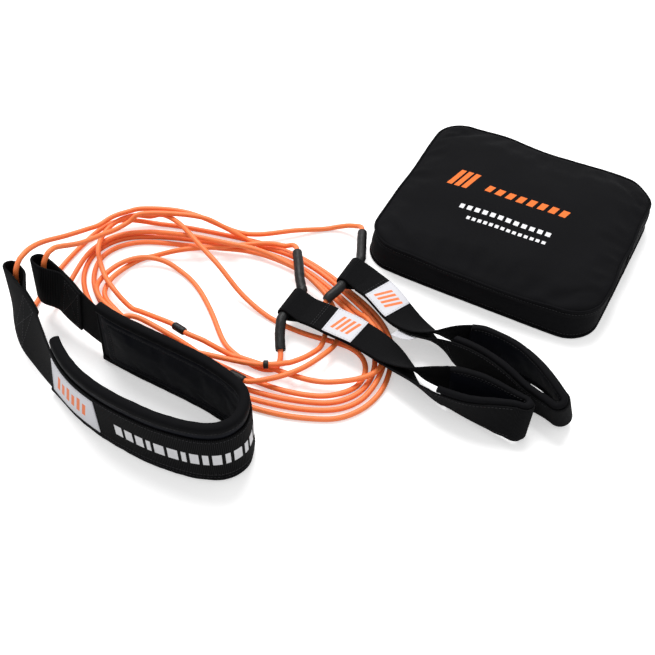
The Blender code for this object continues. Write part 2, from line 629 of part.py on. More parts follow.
def pipe(name, points, outer, bore, look):
    """A short hose: along its skin and back along its bore, so that its wall is one closed body."""
    path = [Vector(point) for point in points]
    frames = frames_along(path, [Vector((0, 0, 1))] * len(path))
    skin = [ring_at(frames, float(i), round_section(outer, TUBE_SIDES)) for i in range(len(path))]
    hole = [ring_at(frames, float(i), round_section(bore, TUBE_SIDES)) for i in range(len(path))]
    return loft(name, skin + hole[::-1], look, closed=True)


def splice(name, cords, tail, head):
    """Brings the end of one cord and the start of another together in a ferrule."""
    start, end = Vector(cords[tail][-1]), Vector(cords[head][0])
    along = (end - start).normalized()
    middle = (start + end) / 2
    coming = (start - Vector(cords[tail][-2])).normalized() * SPLICE_EASE
    going = (Vector(cords[head][1]) - end).normalized() * SPLICE_EASE
    inside = along * SPLICE_EASE
    joint = along * SPLICE_JOINT_GAP / 2
    cords[tail] = np.vstack([cords[tail][:-1], start - coming, start + inside, middle - joint])
    cords[head] = np.vstack([middle + joint, end - inside, end + going, cords[head][1:]])
    low, high = start + inside + along * SPLICE_SETBACK, end - inside - along * SPLICE_SETBACK
    pipe(name, [low, middle, high], SPLICE_DIAMETER, SPLICE_BORE, rubber_finish(name))


def smooth_rows(points):
    """Closely spaced rows on a smooth curve through rows of numbers, with each one's length along it."""
    rows = np.array(points, dtype=float)
    padded = np.vstack([2 * rows[0] - rows[1], rows, 2 * rows[-1] - rows[-2]])
    fine = []
    for a, b, c, d in zip(padded, padded[1:], padded[2:], padded[3:]):
        for t in np.linspace(0, 1, 12, endpoint=False):
            bend = (2 * a - 5 * b + 4 * c - d) * t**2 + (3 * b - a - 3 * c + d) * t**3
            fine.append(0.5 * (2 * b + (c - a) * t + bend))
    fine = np.array(fine + [rows[-1]])
    steps = np.linalg.norm(np.diff(fine[:, :3], axis=0), axis=1)
    return fine, np.concatenate([[0], np.cumsum(steps)])


def stations_through(marks, step):
    """Lengths that include every mark, with the stretches between them evenly divided."""
    marks = sorted(marks)
    out = [marks[0]]
    for start, end in zip(marks, marks[1:]):
        if end - start < GAP:
            continue
        count = max(1, round((end - start) / step))
        out += [start + (end - start) * (i + 1) / count for i in range(count)]
    return np.array(out)


def rows_at(points, marks, step):
    """A smooth curve's rows at stations through the marks, and the stations' lengths."""
    fine, lengths = smooth_rows(points)
    inner = [mark if mark >= 0 else lengths[-1] + mark for mark in marks]
    at = stations_through([0.0] + inner + [lengths[-1]], step)
    return np.array([np.interp(at, lengths, column) for column in fine.T]).T, at


def belt_standing_height(lean):
    """The webbing's middle height where the leaning pad's lowest corner just meets the floor."""
    down = BELT_WEBBING_LOW + BELT_WEBBING_WIDTH / 2
    outer = -BELT_WEBBING_THICKNESS / 2 + TAPE_THICKNESS
    inner = -BELT_WEBBING_THICKNESS / 2 - 3 * GAP - BELT_PAD_THICKNESS - TAPE_THICKNESS
    return down * math.cos(lean) - min(outer * math.sin(lean), inner * math.sin(lean)) + GAP / 4


class BeltForm:
    """The belt's middle line as frames, one for each station from tip A to tip B."""

    def __init__(self):
        turn_x, turn_y = BELT_NEAR_TURN
        rows = []
        for x_share, y_share, lift_share, lean_share in BELT_ROUTE_SHARES:
            x, y = turn_x - BELT_SPAN * x_share, turn_y + BELT_DEPTH * y_share
            rows.append((x, y, BELT_TIP_LIFT * lift_share, BELT_LEAN * lean_share))
        sewn = BELT_TUNNEL_LENGTH + BELT_SEWN_LENGTH
        pad = (BELT_PAD_FROM_TIP_A, BELT_PAD_FROM_TIP_A + BELT_TAPE_LEG,
               -BELT_PAD_FROM_TIP_B, -BELT_PAD_FROM_TIP_B - BELT_TAPE_LEG)
        label = (BELT_LABEL_FROM_TIP, BELT_LABEL_FROM_TIP + BELT_LABEL_LENGTH)
        rows, self.at = rows_at(rows, (sewn, -sewn, *pad, *label), BELT_STATION_STEP)
        self.length = self.at[-1]
        path = [Vector((x, y, lift + belt_standing_height(lean))) for x, y, lift, lean in rows]
        across = []
        for along, row in zip(tangents(path), rows):
            outward = Vector((along.y, -along.x, 0)).normalized()
            across.append(Vector((0, 0, 1)) * math.cos(row[3]) - outward * math.sin(row[3]))
        self.frames = frames_along(path, across)

    def position(self, s):
        """A length from tip A as a position counted in stations, carried on in line past the tips."""
        if s < 0:
            return s / self.at[1]
        if s > self.length:
            return len(self.at) - 1 + (s - self.length) / (self.length - self.at[-2])
        return float(np.interp(s, self.at, np.arange(len(self.at))))

    def point(self, s, outward, up):
        return ring_at(self.frames, self.position(s), [(up, outward)])[0]

    def layer(self, name, section, start, end, look):
        """A layer of the belt between two lengths from tip A."""
        return band(name, self.frames, section, look, self.position(start), self.position(end))


def tip_fold(form, at_tip_a):
    """One tip's fold from its cut end to the main run, as lengths from tip A and outward offsets."""
    back = -(BELT_WEBBING_THICKNESS + GAP)
    full = back - BELT_TUNNEL_OPENING
    radius = -full / 2
    sewn = BELT_TUNNEL_LENGTH + BELT_SEWN_LENGTH
    from_tip = form.at if at_tip_a else form.length - form.at
    stations = sorted((s for s in from_tip if BELT_TUNNEL_LENGTH + GAP < s < sewn - GAP), reverse=True)
    out = [(s, back) for s in [sewn] + stations]
    out += [(BELT_TUNNEL_LENGTH * share, back + (full - back) * bulge) for share, bulge in TUNNEL_SHARES]
    for step in range(TUNNEL_ARC_STEPS):
        angle = math.pi * step / TUNNEL_ARC_STEPS
        out.append((radius - radius * math.sin(angle), -radius - radius * math.cos(angle)))
    if at_tip_a:
        return out
    return [(form.length - s, offset) for s, offset in reversed(out)]


def belt_webbing(form):
    """One length of webbing, folded back round a tunnel at each tip and sewn to itself."""
    start = (BELT_TUNNEL_OPENING + BELT_WEBBING_THICKNESS + GAP) / 2
    ends = (start, form.length - start)
    main = [(s, 0.0) for s in form.at if ends[0] + GAP < s < ends[1] - GAP]
    line = tip_fold(form, True) + [(ends[0], 0.0)] + main + [(ends[1], 0.0)] + tip_fold(form, False)
    flat = [Vector(point) for point in line]
    rings = []
    section = flat_section(BELT_WEBBING_WIDTH, BELT_WEBBING_THICKNESS)
    for point, along in zip(flat, tangents(flat)):
        ring = [form.point(point.x - along.y * b, point.y + along.x * b, a) for a, b in section]
        rings.append(ring)
    turned = [after.x < before.x for before, after in zip(flat, flat[1:])]
    slants = slants_of(section, turned)
    return loft("belt_webbing", rings, webbing_finish("belt_webbing"), slants=slants)


def belt_pad_parts(form):
    """The pad inside the webbing, its inner lining and the tapes that bind its two long edges."""
    start = BELT_PAD_FROM_TIP_A
    end = form.length - BELT_PAD_FROM_TIP_B
    height = BELT_PAD_HEIGHT - 2 * (TAPE_THICKNESS + GAP)
    up = BELT_PAD_HEIGHT / 2 - BELT_WEBBING_LOW - BELT_WEBBING_WIDTH / 2
    middle = -(BELT_WEBBING_THICKNESS + BELT_PAD_THICKNESS) / 2 - GAP
    lining_height = height - 2 * BELT_TAPE_LEG
    webbing_edges = (-BELT_WEBBING_WIDTH / 2, BELT_WEBBING_WIDTH / 2)
    lining_edges = (up - lining_height / 2, up + lining_height / 2)
    section = eased_section(height, BELT_PAD_THICKNESS, up, middle, webbing_edges, lining_edges)
    form.layer("belt_pad", section, start, end, neoprene_finish("belt_pad"))

    lining = middle - (BELT_PAD_THICKNESS + BELT_LINING_THICKNESS) / 2 - GAP
    inset = BELT_TAPE_LEG
    section = flat_section(lining_height, BELT_LINING_THICKNESS, up, lining)
    form.layer("belt_pad_lining", section, start + inset, end - inset, neoprene_finish("belt_pad_lining"))

    for name, side in (("belt_edge_tape_top", 1), ("belt_edge_tape_bottom", -1)):
        edge = height / 2 + GAP + side * up
        inner = BELT_PAD_THICKNESS + 2 * GAP
        section = channel_section(inner, BELT_TAPE_LEG, TAPE_THICKNESS, edge, side, middle)
        form.layer(name, section, start, end, tape_finish(name))


def belt_label(form):
    start = BELT_LABEL_FROM_TIP
    out = (BELT_WEBBING_THICKNESS + LABEL_THICKNESS) / 2 + GAP
    section = flat_section(BELT_LABEL_HEIGHT, LABEL_THICKNESS, through=out)
    form.layer("belt_label", section, start, start + BELT_LABEL_LENGTH, label_finish("belt_label"))


class StrapForm:
    """A hand strap's one band: under its label, round the hose, out on the near layer, back on the far."""

    def __init__(self, hinge, shares, reach, label_start, pad_start):
        self.hinge = Vector(hinge)
        rows = []
        for x_share, y_share, z_share, far_share, near_share, open_share in shares:
            x, y = hinge[0] + reach * x_share, hinge[1] + reach * y_share
            lean = [math.pi / 2 * share for share in (far_share, near_share)]
            rows.append((x, y, STRAP_PAD_WIDTH * z_share, *lean, STRAP_PAD_WIDTH * open_share))
        joint = label_start + STRAP_LABEL_SIDE / 2
        marks = (label_start, joint, label_start + STRAP_LABEL_SIDE, pad_start)
        self.rows, self.at = rows_at(rows, marks, STRAP_STEP)
        self.count = len(self.at)
        self.pad_row = self.station(pad_start)
        self.label_from = self.station(label_start)
        self.label_to = self.station(label_start + STRAP_LABEL_SIDE)
        self.cut = round(self.station(joint))
        near, near_across = self.layer(False)
        far, far_across = self.layer(True)
        turn, turn_across = self.far_turn(near, near_across, far, far_across)
        tunnel = self.hose_turn()
        cut = self.cut
        half = (far[cut + 1] - far[cut]).normalized() * STRAP_JOINT_GAP / 2
        head = [far[cut] - half] + far[:cut][::-1]
        tail = far[cut + 1:][::-1] + [far[cut] + half]
        path = head + tunnel + near + turn + tail
        across = far_across[:cut + 1][::-1] + [Vector((0, 1, 0))] * len(tunnel)
        across += near_across + turn_across + far_across[cut:][::-1]
        self.frames = frames_along(path, across)
        self.far_frames = frames_along(far, far_across)
        self.near_from = len(head) + len(tunnel)
        outward = self.near_from + self.count
        self.turned = [i < len(head) or i >= outward + len(turn) // 2 for i in range(len(path) - 1)]
        self.far_end = outward + len(turn)

    def station(self, length):
        """A length from the strap's start as a position counted in rows."""
        return float(np.interp(length, self.at, np.arange(self.count)))

    def least_apart(self, row, index):
        """How far apart the two layers' middles must be, from their leans and what lies between them."""
        width, inside = STRAP_WEBBING_WIDTH, STRAP_WEBBING_THICKNESS
        if index >= self.pad_row - 1:
            width = STRAP_PAD_WIDTH
            inside += 2 * (STRAP_PAD_THICKNESS + 2 * TAPE_THICKNESS + 3 * GAP)
        return inside + GAP + width / 2 * abs(math.sin(row[3] - row[4]))

    def layer(self, far):
        """One layer's places and width directions."""
        path, across = [], []
        middles = [Vector(row[:3]) for row in self.rows]
        for index, (row, middle, along) in enumerate(zip(self.rows, middles, tangents(middles))):
            left = Vector((-along.y, along.x, 0)).normalized()
            both = (row[3] + row[4]) / 2
            normal = left * math.sin(both) + Vector((0, 0, 1)) * math.cos(both)
            lean = row[3] if far else row[4]
            apart = max(row[5], self.least_apart(row, index)) / 2
            path.append(middle + normal * (apart if far else -apart))
            across.append(left * math.cos(lean) - Vector((0, 0, 1)) * math.sin(lean))
        return path, across

    def far_turn(self, near, near_across, far, far_across):
        """The turn at the far end that joins the near layer to the far one."""
        start, end = near[-1], far[-1]
        middle = (start + end) / 2
        along = (near[-1] - near[-2]).normalized() + (far[-1] - far[-2]).normalized()
        reach = along.normalized() * (start - end).length / 2
        path, across = [], []
        for i in range(1, STRAP_TURN_STEPS):
            angle = math.pi * i / STRAP_TURN_STEPS
            path.append(middle + (start - middle) * math.cos(angle) + reach * math.sin(angle))
            across.append(near_across[-1].lerp(far_across[-1], i / STRAP_TURN_STEPS))
        return path, across

    def hose_turn(self):
        radius = (HOSE_DIAMETER + STRAP_WEBBING_THICKNESS) / 2 + STRAP_TUNNEL_CLEARANCE
        angles = [math.pi * share for share in STRAP_TUNNEL_TURN_SHARES]
        return [self.hinge + Vector((math.cos(angle), 0, math.sin(angle))) * radius for angle in angles]


def strap_parts(prefix, form):
    """A strap's webbing, hand pad, edge tapes and label."""
    origin = form.hinge
    section = flat_section(STRAP_WEBBING_WIDTH, STRAP_WEBBING_THICKNESS)
    name = prefix + "_webbing"
    band(name, form.frames, section, webbing_finish(name), origin=origin, turned=form.turned)

    through = (STRAP_WEBBING_THICKNESS + STRAP_PAD_THICKNESS) / 2 + TAPE_THICKNESS + 2 * GAP
    first = form.near_from + form.pad_row
    last = form.far_end + form.count - 1 - form.pad_row
    width = STRAP_PAD_WIDTH - 2 * (TAPE_THICKNESS + GAP)
    name = prefix + "_pad"
    section = eased_section(width, STRAP_PAD_THICKNESS, through=through)
    band(name, form.frames, section, neoprene_finish(name), first, last, origin, form.turned)
    for end, side in (("top", -1), ("bottom", 1)):
        name = prefix + "_edge_tape_" + end
        edge = width / 2 + GAP
        inner = STRAP_PAD_THICKNESS + 2 * GAP
        section = channel_section(inner, STRAP_TAPE_LEG, TAPE_THICKNESS, edge, side, through)
        band(name, form.frames, section, tape_finish(name), first, last, origin, form.turned)

    name = prefix + "_label"
    out = (STRAP_WEBBING_THICKNESS + LABEL_THICKNESS) / 2 + GAP
    section = flat_section(STRAP_LABEL_SIDE, LABEL_THICKNESS, through=out)
    band(name, form.far_frames, section, label_finish(name), form.label_from, form.label_to, origin)


def care_label(form):
    """A small tag held under the edge of the second strap's near layer."""
    first = form.near_from + form.station(CARE_LABEL_START)
    last = form.near_from + form.station(CARE_LABEL_START + CARE_LABEL_LENGTH)
    under = -(STRAP_WEBBING_THICKNESS + LABEL_THICKNESS) / 2 - 2 * GAP
    edge = -STRAP_WEBBING_WIDTH / 2 - (CARE_LABEL_REACH - CARE_LABEL_LAP) / 2
    section = flat_section(CARE_LABEL_REACH + CARE_LABEL_LAP, LABEL_THICKNESS, edge, under)
    look = label_finish("strap_2_care_label")
    band("strap_2_care_label", form.frames, section, look, first, last, form.hinge, form.turned)


def corner_arcs(inset):
    """The pouch outline's corners, anticlockwise from the front right, drawn in by an inset."""
    left, front = POUCH_FRONT_LEFT
    right, back = left + POUCH_LENGTH, front + POUCH_DEPTH
    radius = max(POUCH_CORNER - inset, POUCH_CORNER * TIGHT_CORNER_SHARE)
    edge = inset + radius
    middles = ((right - edge, front + edge), (right - edge, back - edge),
               (left + edge, back - edge), (left + edge, front + edge))
    arcs = []
    for index, (x, y) in enumerate(middles):
        angles = [math.pi / 2 * (index - 1 + step / CORNER_STEPS) for step in range(CORNER_STEPS + 1)]
        arcs.append([(x + radius * math.cos(angle), y + radius * math.sin(angle)) for angle in angles])
    return arcs


def outline_ring(inset, height):
    return [Vector((x, y, height)) for arc in corner_arcs(inset) for x, y in arc]


def pouch_base():
    """The lower half of the pouch: a tray with a rebate for its piping."""
    rebate_top = PIPING_DIAMETER + 2 * GAP
    rim = POUCH_ZIP_HEIGHT - POUCH_ZIP_OPENING / 2
    deep = POUCH_WALL + PIPING_REBATE
    steps = (
        (PIPING_REBATE, 0.0), (PIPING_REBATE, rebate_top), (0.0, rebate_top + PIPING_REBATE), (0.0, rim),
        (POUCH_WALL, rim), (POUCH_WALL, rebate_top + deep),
        (deep, rebate_top + PIPING_REBATE), (deep, POUCH_WALL),
    )
    return loft("pouch_base", [outline_ring(inset, z) for inset, z in steps], pouch_finish("pouch_base"))


def pouch_lid(origin):
    """The upper half of the pouch: a shell with a seat for its piping and a softly crowned top."""
    rim = POUCH_ZIP_HEIGHT + POUCH_ZIP_OPENING / 2
    seam = POUCH_SEAM_HEIGHT
    crown = [(POUCH_DEPTH / 2 * share, seam + POUCH_CROWN * rise) for share, rise in CROWN_SHARES]
    outer = [(0.0, rim), (0.0, seam - PIPING_SEAT), (PIPING_SEAT, seam)] + crown
    wall = POUCH_WALL
    inner = [(wall, rim), (wall, seam - PIPING_SEAT - wall / 2), (PIPING_SEAT + wall / 2, seam - wall)]
    inner += [(inset, z - wall) for inset, z in crown]
    steps = outer[::-1] + inner
    rings = [outline_ring(inset, z) for inset, z in steps]
    return loft("pouch_lid", rings, pouch_finish("pouch_lid"), origin)


def piping(name, inset, height, origin=None):
    path = outline_ring(inset, height)
    section = round_section(PIPING_DIAMETER, PIPING_SIDES)
    return closed_band(name, path, section, tape_finish(name), origin)


def wall_run(front):
    """The outline's plan path round the front, or round the back as far as the zip reaches."""
    arcs = corner_arcs(0.0)
    reach = POUCH_FRONT_LEFT[1] + POUCH_DEPTH - ZIP_SIDE_REACH
    left, right = POUCH_FRONT_LEFT[0], POUCH_FRONT_LEFT[0] + POUCH_LENGTH
    if front:
        stop = reach - GAP
        return [(left, stop)] + arcs[3] + arcs[0] + [(right, stop)]
    return [(right, reach)] + arcs[1] + arcs[2] + [(left, reach)]


def wall_band(name, places, section, look, origin=None):
    path = [Vector((x, y, POUCH_ZIP_HEIGHT)) for x, y in places]
    frames = frames_along(path, [Vector((0, 0, 1))] * len(path))
    return band(name, frames, section, look, origin=origin)


def pouch_wall_bands(lid_origin):
    """The hinge strip, the zip's tapes and teeth, and the tabs at its two ends."""
    height = POUCH_ZIP_OPENING - 2 * GAP
    section = flat_section(height, POUCH_WALL, through=-POUCH_WALL / 2)
    wall_band("pouch_hinge_strip", wall_run(True), section, pouch_finish("pouch_hinge_strip"))
    back = wall_run(False)
    out = GAP + ZIP_TAPE_THICKNESS / 2
    for end, side, origin in (("upper", 1, lid_origin), ("lower", -1, None)):
        name = "zip_tape_" + end
        middle = side * (ZIP_TAPE_FOOT + ZIP_TAPE_HEIGHT / 2)
        section = flat_section(ZIP_TAPE_HEIGHT, ZIP_TAPE_THICKNESS, middle, out)
        wall_band(name, back, section, tape_finish(name), origin)
        name = "zip_teeth_" + end
        middle = side * (ZIP_MIDDLE_GAP + ZIP_TOOTH_HEIGHT) / 2
        section = flat_section(ZIP_TOOTH_HEIGHT, ZIP_TOOTH_DEPTH, middle, out)
        wall_band(name, back, section, tape_finish(name), origin)
    reach = POUCH_FRONT_LEFT[1] + POUCH_DEPTH - ZIP_SIDE_REACH - GAP
    left, right = POUCH_FRONT_LEFT[0], POUCH_FRONT_LEFT[0] + POUCH_LENGTH
    low, high = -(ZIP_TAPE_FOOT + ZIP_TAPE_HEIGHT), POUCH_ZIP_OPENING / 2 - GAP
    section = flat_section(high - low, ZIP_TAPE_THICKNESS, (low + high) / 2, out)
    near = reach - ZIP_TAB_LENGTH
    for end, places in (("left", [(left, reach), (left, near)]), ("right", [(right, near), (right, reach)])):
        name = "zip_end_tab_" + end
        wall_band(name, places, section, tape_finish(name))


def joined_blocks(name, blocks, look, origin):
    """One closed body from blocks that meet face to face, each given by two opposite corners."""
    lines = [sorted({round(corner[axis], 7) for block in blocks for corner in block}) for axis in range(3)]

    def solid(cell):
        if any(cell[axis] < 0 or cell[axis] >= len(lines[axis]) - 1 for axis in range(3)):
            return False
        middle = [(lines[axis][cell[axis]] + lines[axis][cell[axis] + 1]) / 2 for axis in range(3)]
        within = (all(low[a] < middle[a] < high[a] for a in range(3)) for low, high in blocks)
        return any(within)

    work = bmesh.new()
    made = {}

    def corner(index):
        if index not in made:
            made[index] = work.verts.new([lines[axis][index[axis]] for axis in range(3)])
        return made[index]

    counts = [len(line) - 1 for line in lines]
    for i, j, k in np.ndindex(*counts):
        if not solid((i, j, k)):
            continue
        for axis in range(3):
            one, two = (axis + 1) % 3, (axis + 2) % 3
            for side in (0, 1):
                beside = [i, j, k]
                beside[axis] += 2 * side - 1
                if solid(beside):
                    continue
                square = []
                for da, db in ((0, 0), (1, 0), (1, 1), (0, 1)):
                    index = [i, j, k]
                    index[axis] += side
                    index[one] += da
                    index[two] += db
                    square.append(corner(tuple(index)))
                work.faces.new(square if side else square[::-1])
    mesh = bpy.data.meshes.new(name)
    work.to_mesh(mesh)
    work.free()
    return add_object(name, mesh, look, origin)


def zip_slider():
    """The slider round both rows of teeth, with its bail; returns the middle of the puller's bar."""
    wall = POUCH_FRONT_LEFT[1] + POUCH_DEPTH
    x = POUCH_FRONT_LEFT[0] + POUCH_CORNER + SLIDER_LENGTH / 2
    z = POUCH_ZIP_HEIGHT
    inner = wall + (ZIP_TAPE_THICKNESS - ZIP_TOOTH_DEPTH) / 2
    outer = wall + (ZIP_TAPE_THICKNESS + ZIP_TOOTH_DEPTH) / 2 + 2 * GAP
    face = outer + SLIDER_PLATE
    long, tall, short, neck = SLIDER_LENGTH / 2, SLIDER_HEIGHT / 2, SLIDER_INNER_HEIGHT / 2, SLIDER_NECK / 2
    arch, leg, half = BAIL_LENGTH / 2, BAIL_LENGTH / 2 - BAIL_BAR, BAIL_WIDTH / 2
    under = face + BAIL_REACH - BAIL_BAR
    blocks = (
        ((x - long, inner - SLIDER_PLATE, z - short), (x + long, inner, z + short)),
        ((x - long, inner, z - neck), (x + long, outer, z + neck)),
        ((x - long, outer, z - tall), (x + long, face, z + tall)),
        ((x - arch, face, z - half), (x - leg, under, z + half)),
        ((x + leg, face, z - half), (x + arch, under, z + half)),
        ((x - arch, under, z - half), (x + arch, under + BAIL_BAR, z + half)),
    )
    joined_blocks("zip_slider", blocks, metal_finish("zip_slider"), (x, wall, z))
    return Vector((x, (face + under) / 2, z))


def zip_puller(axis):
    """A flat puller with the hole that the slider's bail passes through, hung by its end bar."""
    near, far = axis.x + BAIL_BAR / 2, axis.x + BAIL_BAR / 2 - PULLER_LENGTH
    hole_near, hole_far = axis.x - BAIL_BAR / 2, axis.x - BAIL_BAR / 2 - PULLER_HOLE_LENGTH
    plates = ((near, far, PULLER_WIDTH / 2), (hole_near, hole_far, PULLER_HOLE_WIDTH / 2))
    rings = []
    for (x0, x1, half), sides in zip(plates, ((1, -1), (-1, 1))):
        for side in sides:
            y = axis.y + side * PULLER_THICKNESS / 2
            corners = ((x0, -half), (x1, -half), (x1, half), (x0, half))
            rings.append([Vector((x, y, axis.z + z)) for x, z in corners])
    loft("zip_puller", rings, metal_finish("zip_puller"), axis, closed=True)


def pouch():
    hinge = Vector((POUCH_FRONT_LEFT[0] + POUCH_LENGTH / 2, POUCH_FRONT_LEFT[1],
                    POUCH_ZIP_HEIGHT + POUCH_ZIP_OPENING / 2))
    pouch_base()
    pouch_lid(hinge)
    stand_off = (PIPING_DIAMETER / 2 + GAP)
    slope = math.sqrt(0.5)
    top_inset = PIPING_SEAT / 2 - stand_off * slope
    piping("piping_top", top_inset, POUCH_SEAM_HEIGHT - top_inset, hinge)
    piping("piping_bottom", PIPING_REBATE - stand_off, stand_off)
    pouch_wall_bands(hinge)
    zip_puller(zip_slider())


def elastic_cords():
    """The three lengths of cord, the ferrules that join them and the two hoses."""
    placed = lay_all_runs()
    cords = {
        "cord_1": chain_points(CORD_1_CHAIN, placed),
        "cord_2": chain_points(CORD_2_CHAIN, placed),
        "cord_2_short": chain_points(CORD_2_SHORT_CHAIN, placed),
    }
    splice("splice_1", cords, "cord_1", "cord_1")
    splice("splice_2a", cords, "cord_2", "cord_2_short")
    splice("splice_2b", cords, "cord_2_short", "cord_2")
    for name, points in cords.items():
        cord_tube(name, points)
        length = np.linalg.norm(np.diff(points, axis=0), axis=1).sum()
        gap = least_gap(points)
        print(name, len(points), "points", round(length, 3), "m, least gap to itself", round(gap, 5))
    names = list(cords)
    for i, name in enumerate(names):
        for other in names[i + 1:]:
            print(name, other, "least gap", round(least_gap(cords[name], cords[other]), 5))
    for name in ("hose_1", "hose_2"):
        pipe(name, placed[name], HOSE_DIAMETER, HOSE_BORE, rubber_finish(name))


def main():
    clear_scene()
    belt = BeltForm()
    belt_webbing(belt)
    belt_pad_parts(belt)
    belt_label(belt)
    first = StrapForm(STRAP_1_HINGE, STRAP_1_SHARES, STRAP_1_REACH, STRAP_1_LABEL_START, STRAP_1_PAD_START)
    second = StrapForm(STRAP_2_HINGE, STRAP_2_SHARES, STRAP_2_REACH, STRAP_2_LABEL_START, STRAP_2_PAD_START)
    strap_parts("strap_1", first)
    strap_parts("strap_2", second)
    care_label(second)
    pouch()
    elastic_cords()


main()
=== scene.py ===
"""Dressed scene of a two-cord resistance sprint trainer: belt, cords, hand straps and zip pouch."""
import math
from functools import partialmethod

import bmesh
import bpy
import numpy as np
from bpy.props import FloatProperty, FloatVectorProperty, IntProperty, PointerProperty
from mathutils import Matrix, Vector, noise


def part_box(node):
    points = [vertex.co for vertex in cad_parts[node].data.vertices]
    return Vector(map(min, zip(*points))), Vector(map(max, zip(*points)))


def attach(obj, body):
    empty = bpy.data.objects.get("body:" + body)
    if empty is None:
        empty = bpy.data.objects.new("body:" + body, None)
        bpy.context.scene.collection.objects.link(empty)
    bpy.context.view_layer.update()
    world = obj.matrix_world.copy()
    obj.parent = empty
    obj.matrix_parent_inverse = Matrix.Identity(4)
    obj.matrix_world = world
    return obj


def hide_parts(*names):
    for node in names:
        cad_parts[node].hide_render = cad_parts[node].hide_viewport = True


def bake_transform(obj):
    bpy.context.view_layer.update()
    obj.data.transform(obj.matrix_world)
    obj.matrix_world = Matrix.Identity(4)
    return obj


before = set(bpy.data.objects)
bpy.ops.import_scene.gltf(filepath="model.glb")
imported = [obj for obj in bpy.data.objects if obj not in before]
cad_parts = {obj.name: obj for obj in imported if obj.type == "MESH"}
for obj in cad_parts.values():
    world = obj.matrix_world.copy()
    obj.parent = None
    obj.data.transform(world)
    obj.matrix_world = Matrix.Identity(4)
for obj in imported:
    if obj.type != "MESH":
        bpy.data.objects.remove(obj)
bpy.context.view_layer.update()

bl_info = {
    "name": "Sprint trainer",
    "version": (1, 0, 0),
    "blender": (4, 5, 0),
    "location": "3D View > Sidebar > Trainer",
    "description": "Builds a resistance sprint trainer piece by piece",
    "category": "Add Mesh",
}


def metres(rows):
    """Rows given in whole tenths of a millimetre, in metres."""
    return tuple(tuple(value / 10000 for value in row) for row in rows)


# Shared clearances
GAP = 0.0003

# Belt
BELT_WEBBING_WIDTH = 0.060
BELT_WEBBING_THICKNESS = 0.0024
BELT_TAPE_LEG = 0.008
TAPE_THICKNESS = 0.0011
BELT_WEBBING_LOW = 0.011
BELT_PAD_HEIGHT = 0.088
BELT_PAD_THICKNESS = 0.0075
BELT_PAD_FROM_TIP_A = 0.128
BELT_PAD_FROM_TIP_B = 0.112
BELT_TUNNEL_LENGTH = 0.040
BELT_TUNNEL_OPENING = 0.012
BELT_SEWN_LENGTH = 0.034
BELT_LABEL_FROM_TIP = 0.136
BELT_LABEL_LENGTH = 0.074
BELT_LABEL_HEIGHT = 0.052
BELT_STATION_STEP = 0.0045
LABEL_THICKNESS = 0.0008

# The belt's middle line from its outer tip to its inner one: x, y, lift and lean in degrees
BELT_ROWS = (
    (-0.3009, -0.2164, 0.016, 0), (-0.2729, -0.2334, 0.013, 16), (-0.2449, -0.2514, 0.009, 24),
    (-0.2149, -0.2684, 0.005, 16), (-0.1829, -0.2844, 0.002, 6), (-0.1479, -0.2984, 0.0005, 1.5),
    (-0.1109, -0.3054, 0, 0), (-0.0729, -0.3079, 0, 0), (-0.0329, -0.3059, 0, 0),
    (0.0011, -0.2984, 0, 0), (0.0241, -0.2854, 0, 0), (0.0341, -0.2664, 0, 0),
    (0.0311, -0.2474, 0, 0), (0.0221, -0.2334, 0, 0), (0.0051, -0.2244, 0, 0),
    (-0.0179, -0.2184, 0, 0), (-0.0479, -0.2149, 0, 0), (-0.0829, -0.2139, 0, 0),
    (-0.1179, -0.2129, 0, 0), (-0.1479, -0.2119, 0.0003, 0), (-0.1779, -0.2089, 0.001, -2),
    (-0.2079, -0.2024, 0.004, -5), (-0.2329, -0.1954, 0.008, -9), (-0.2579, -0.1874, 0.012, -7),
    (-0.2799, -0.1794, 0.015, 0),
)

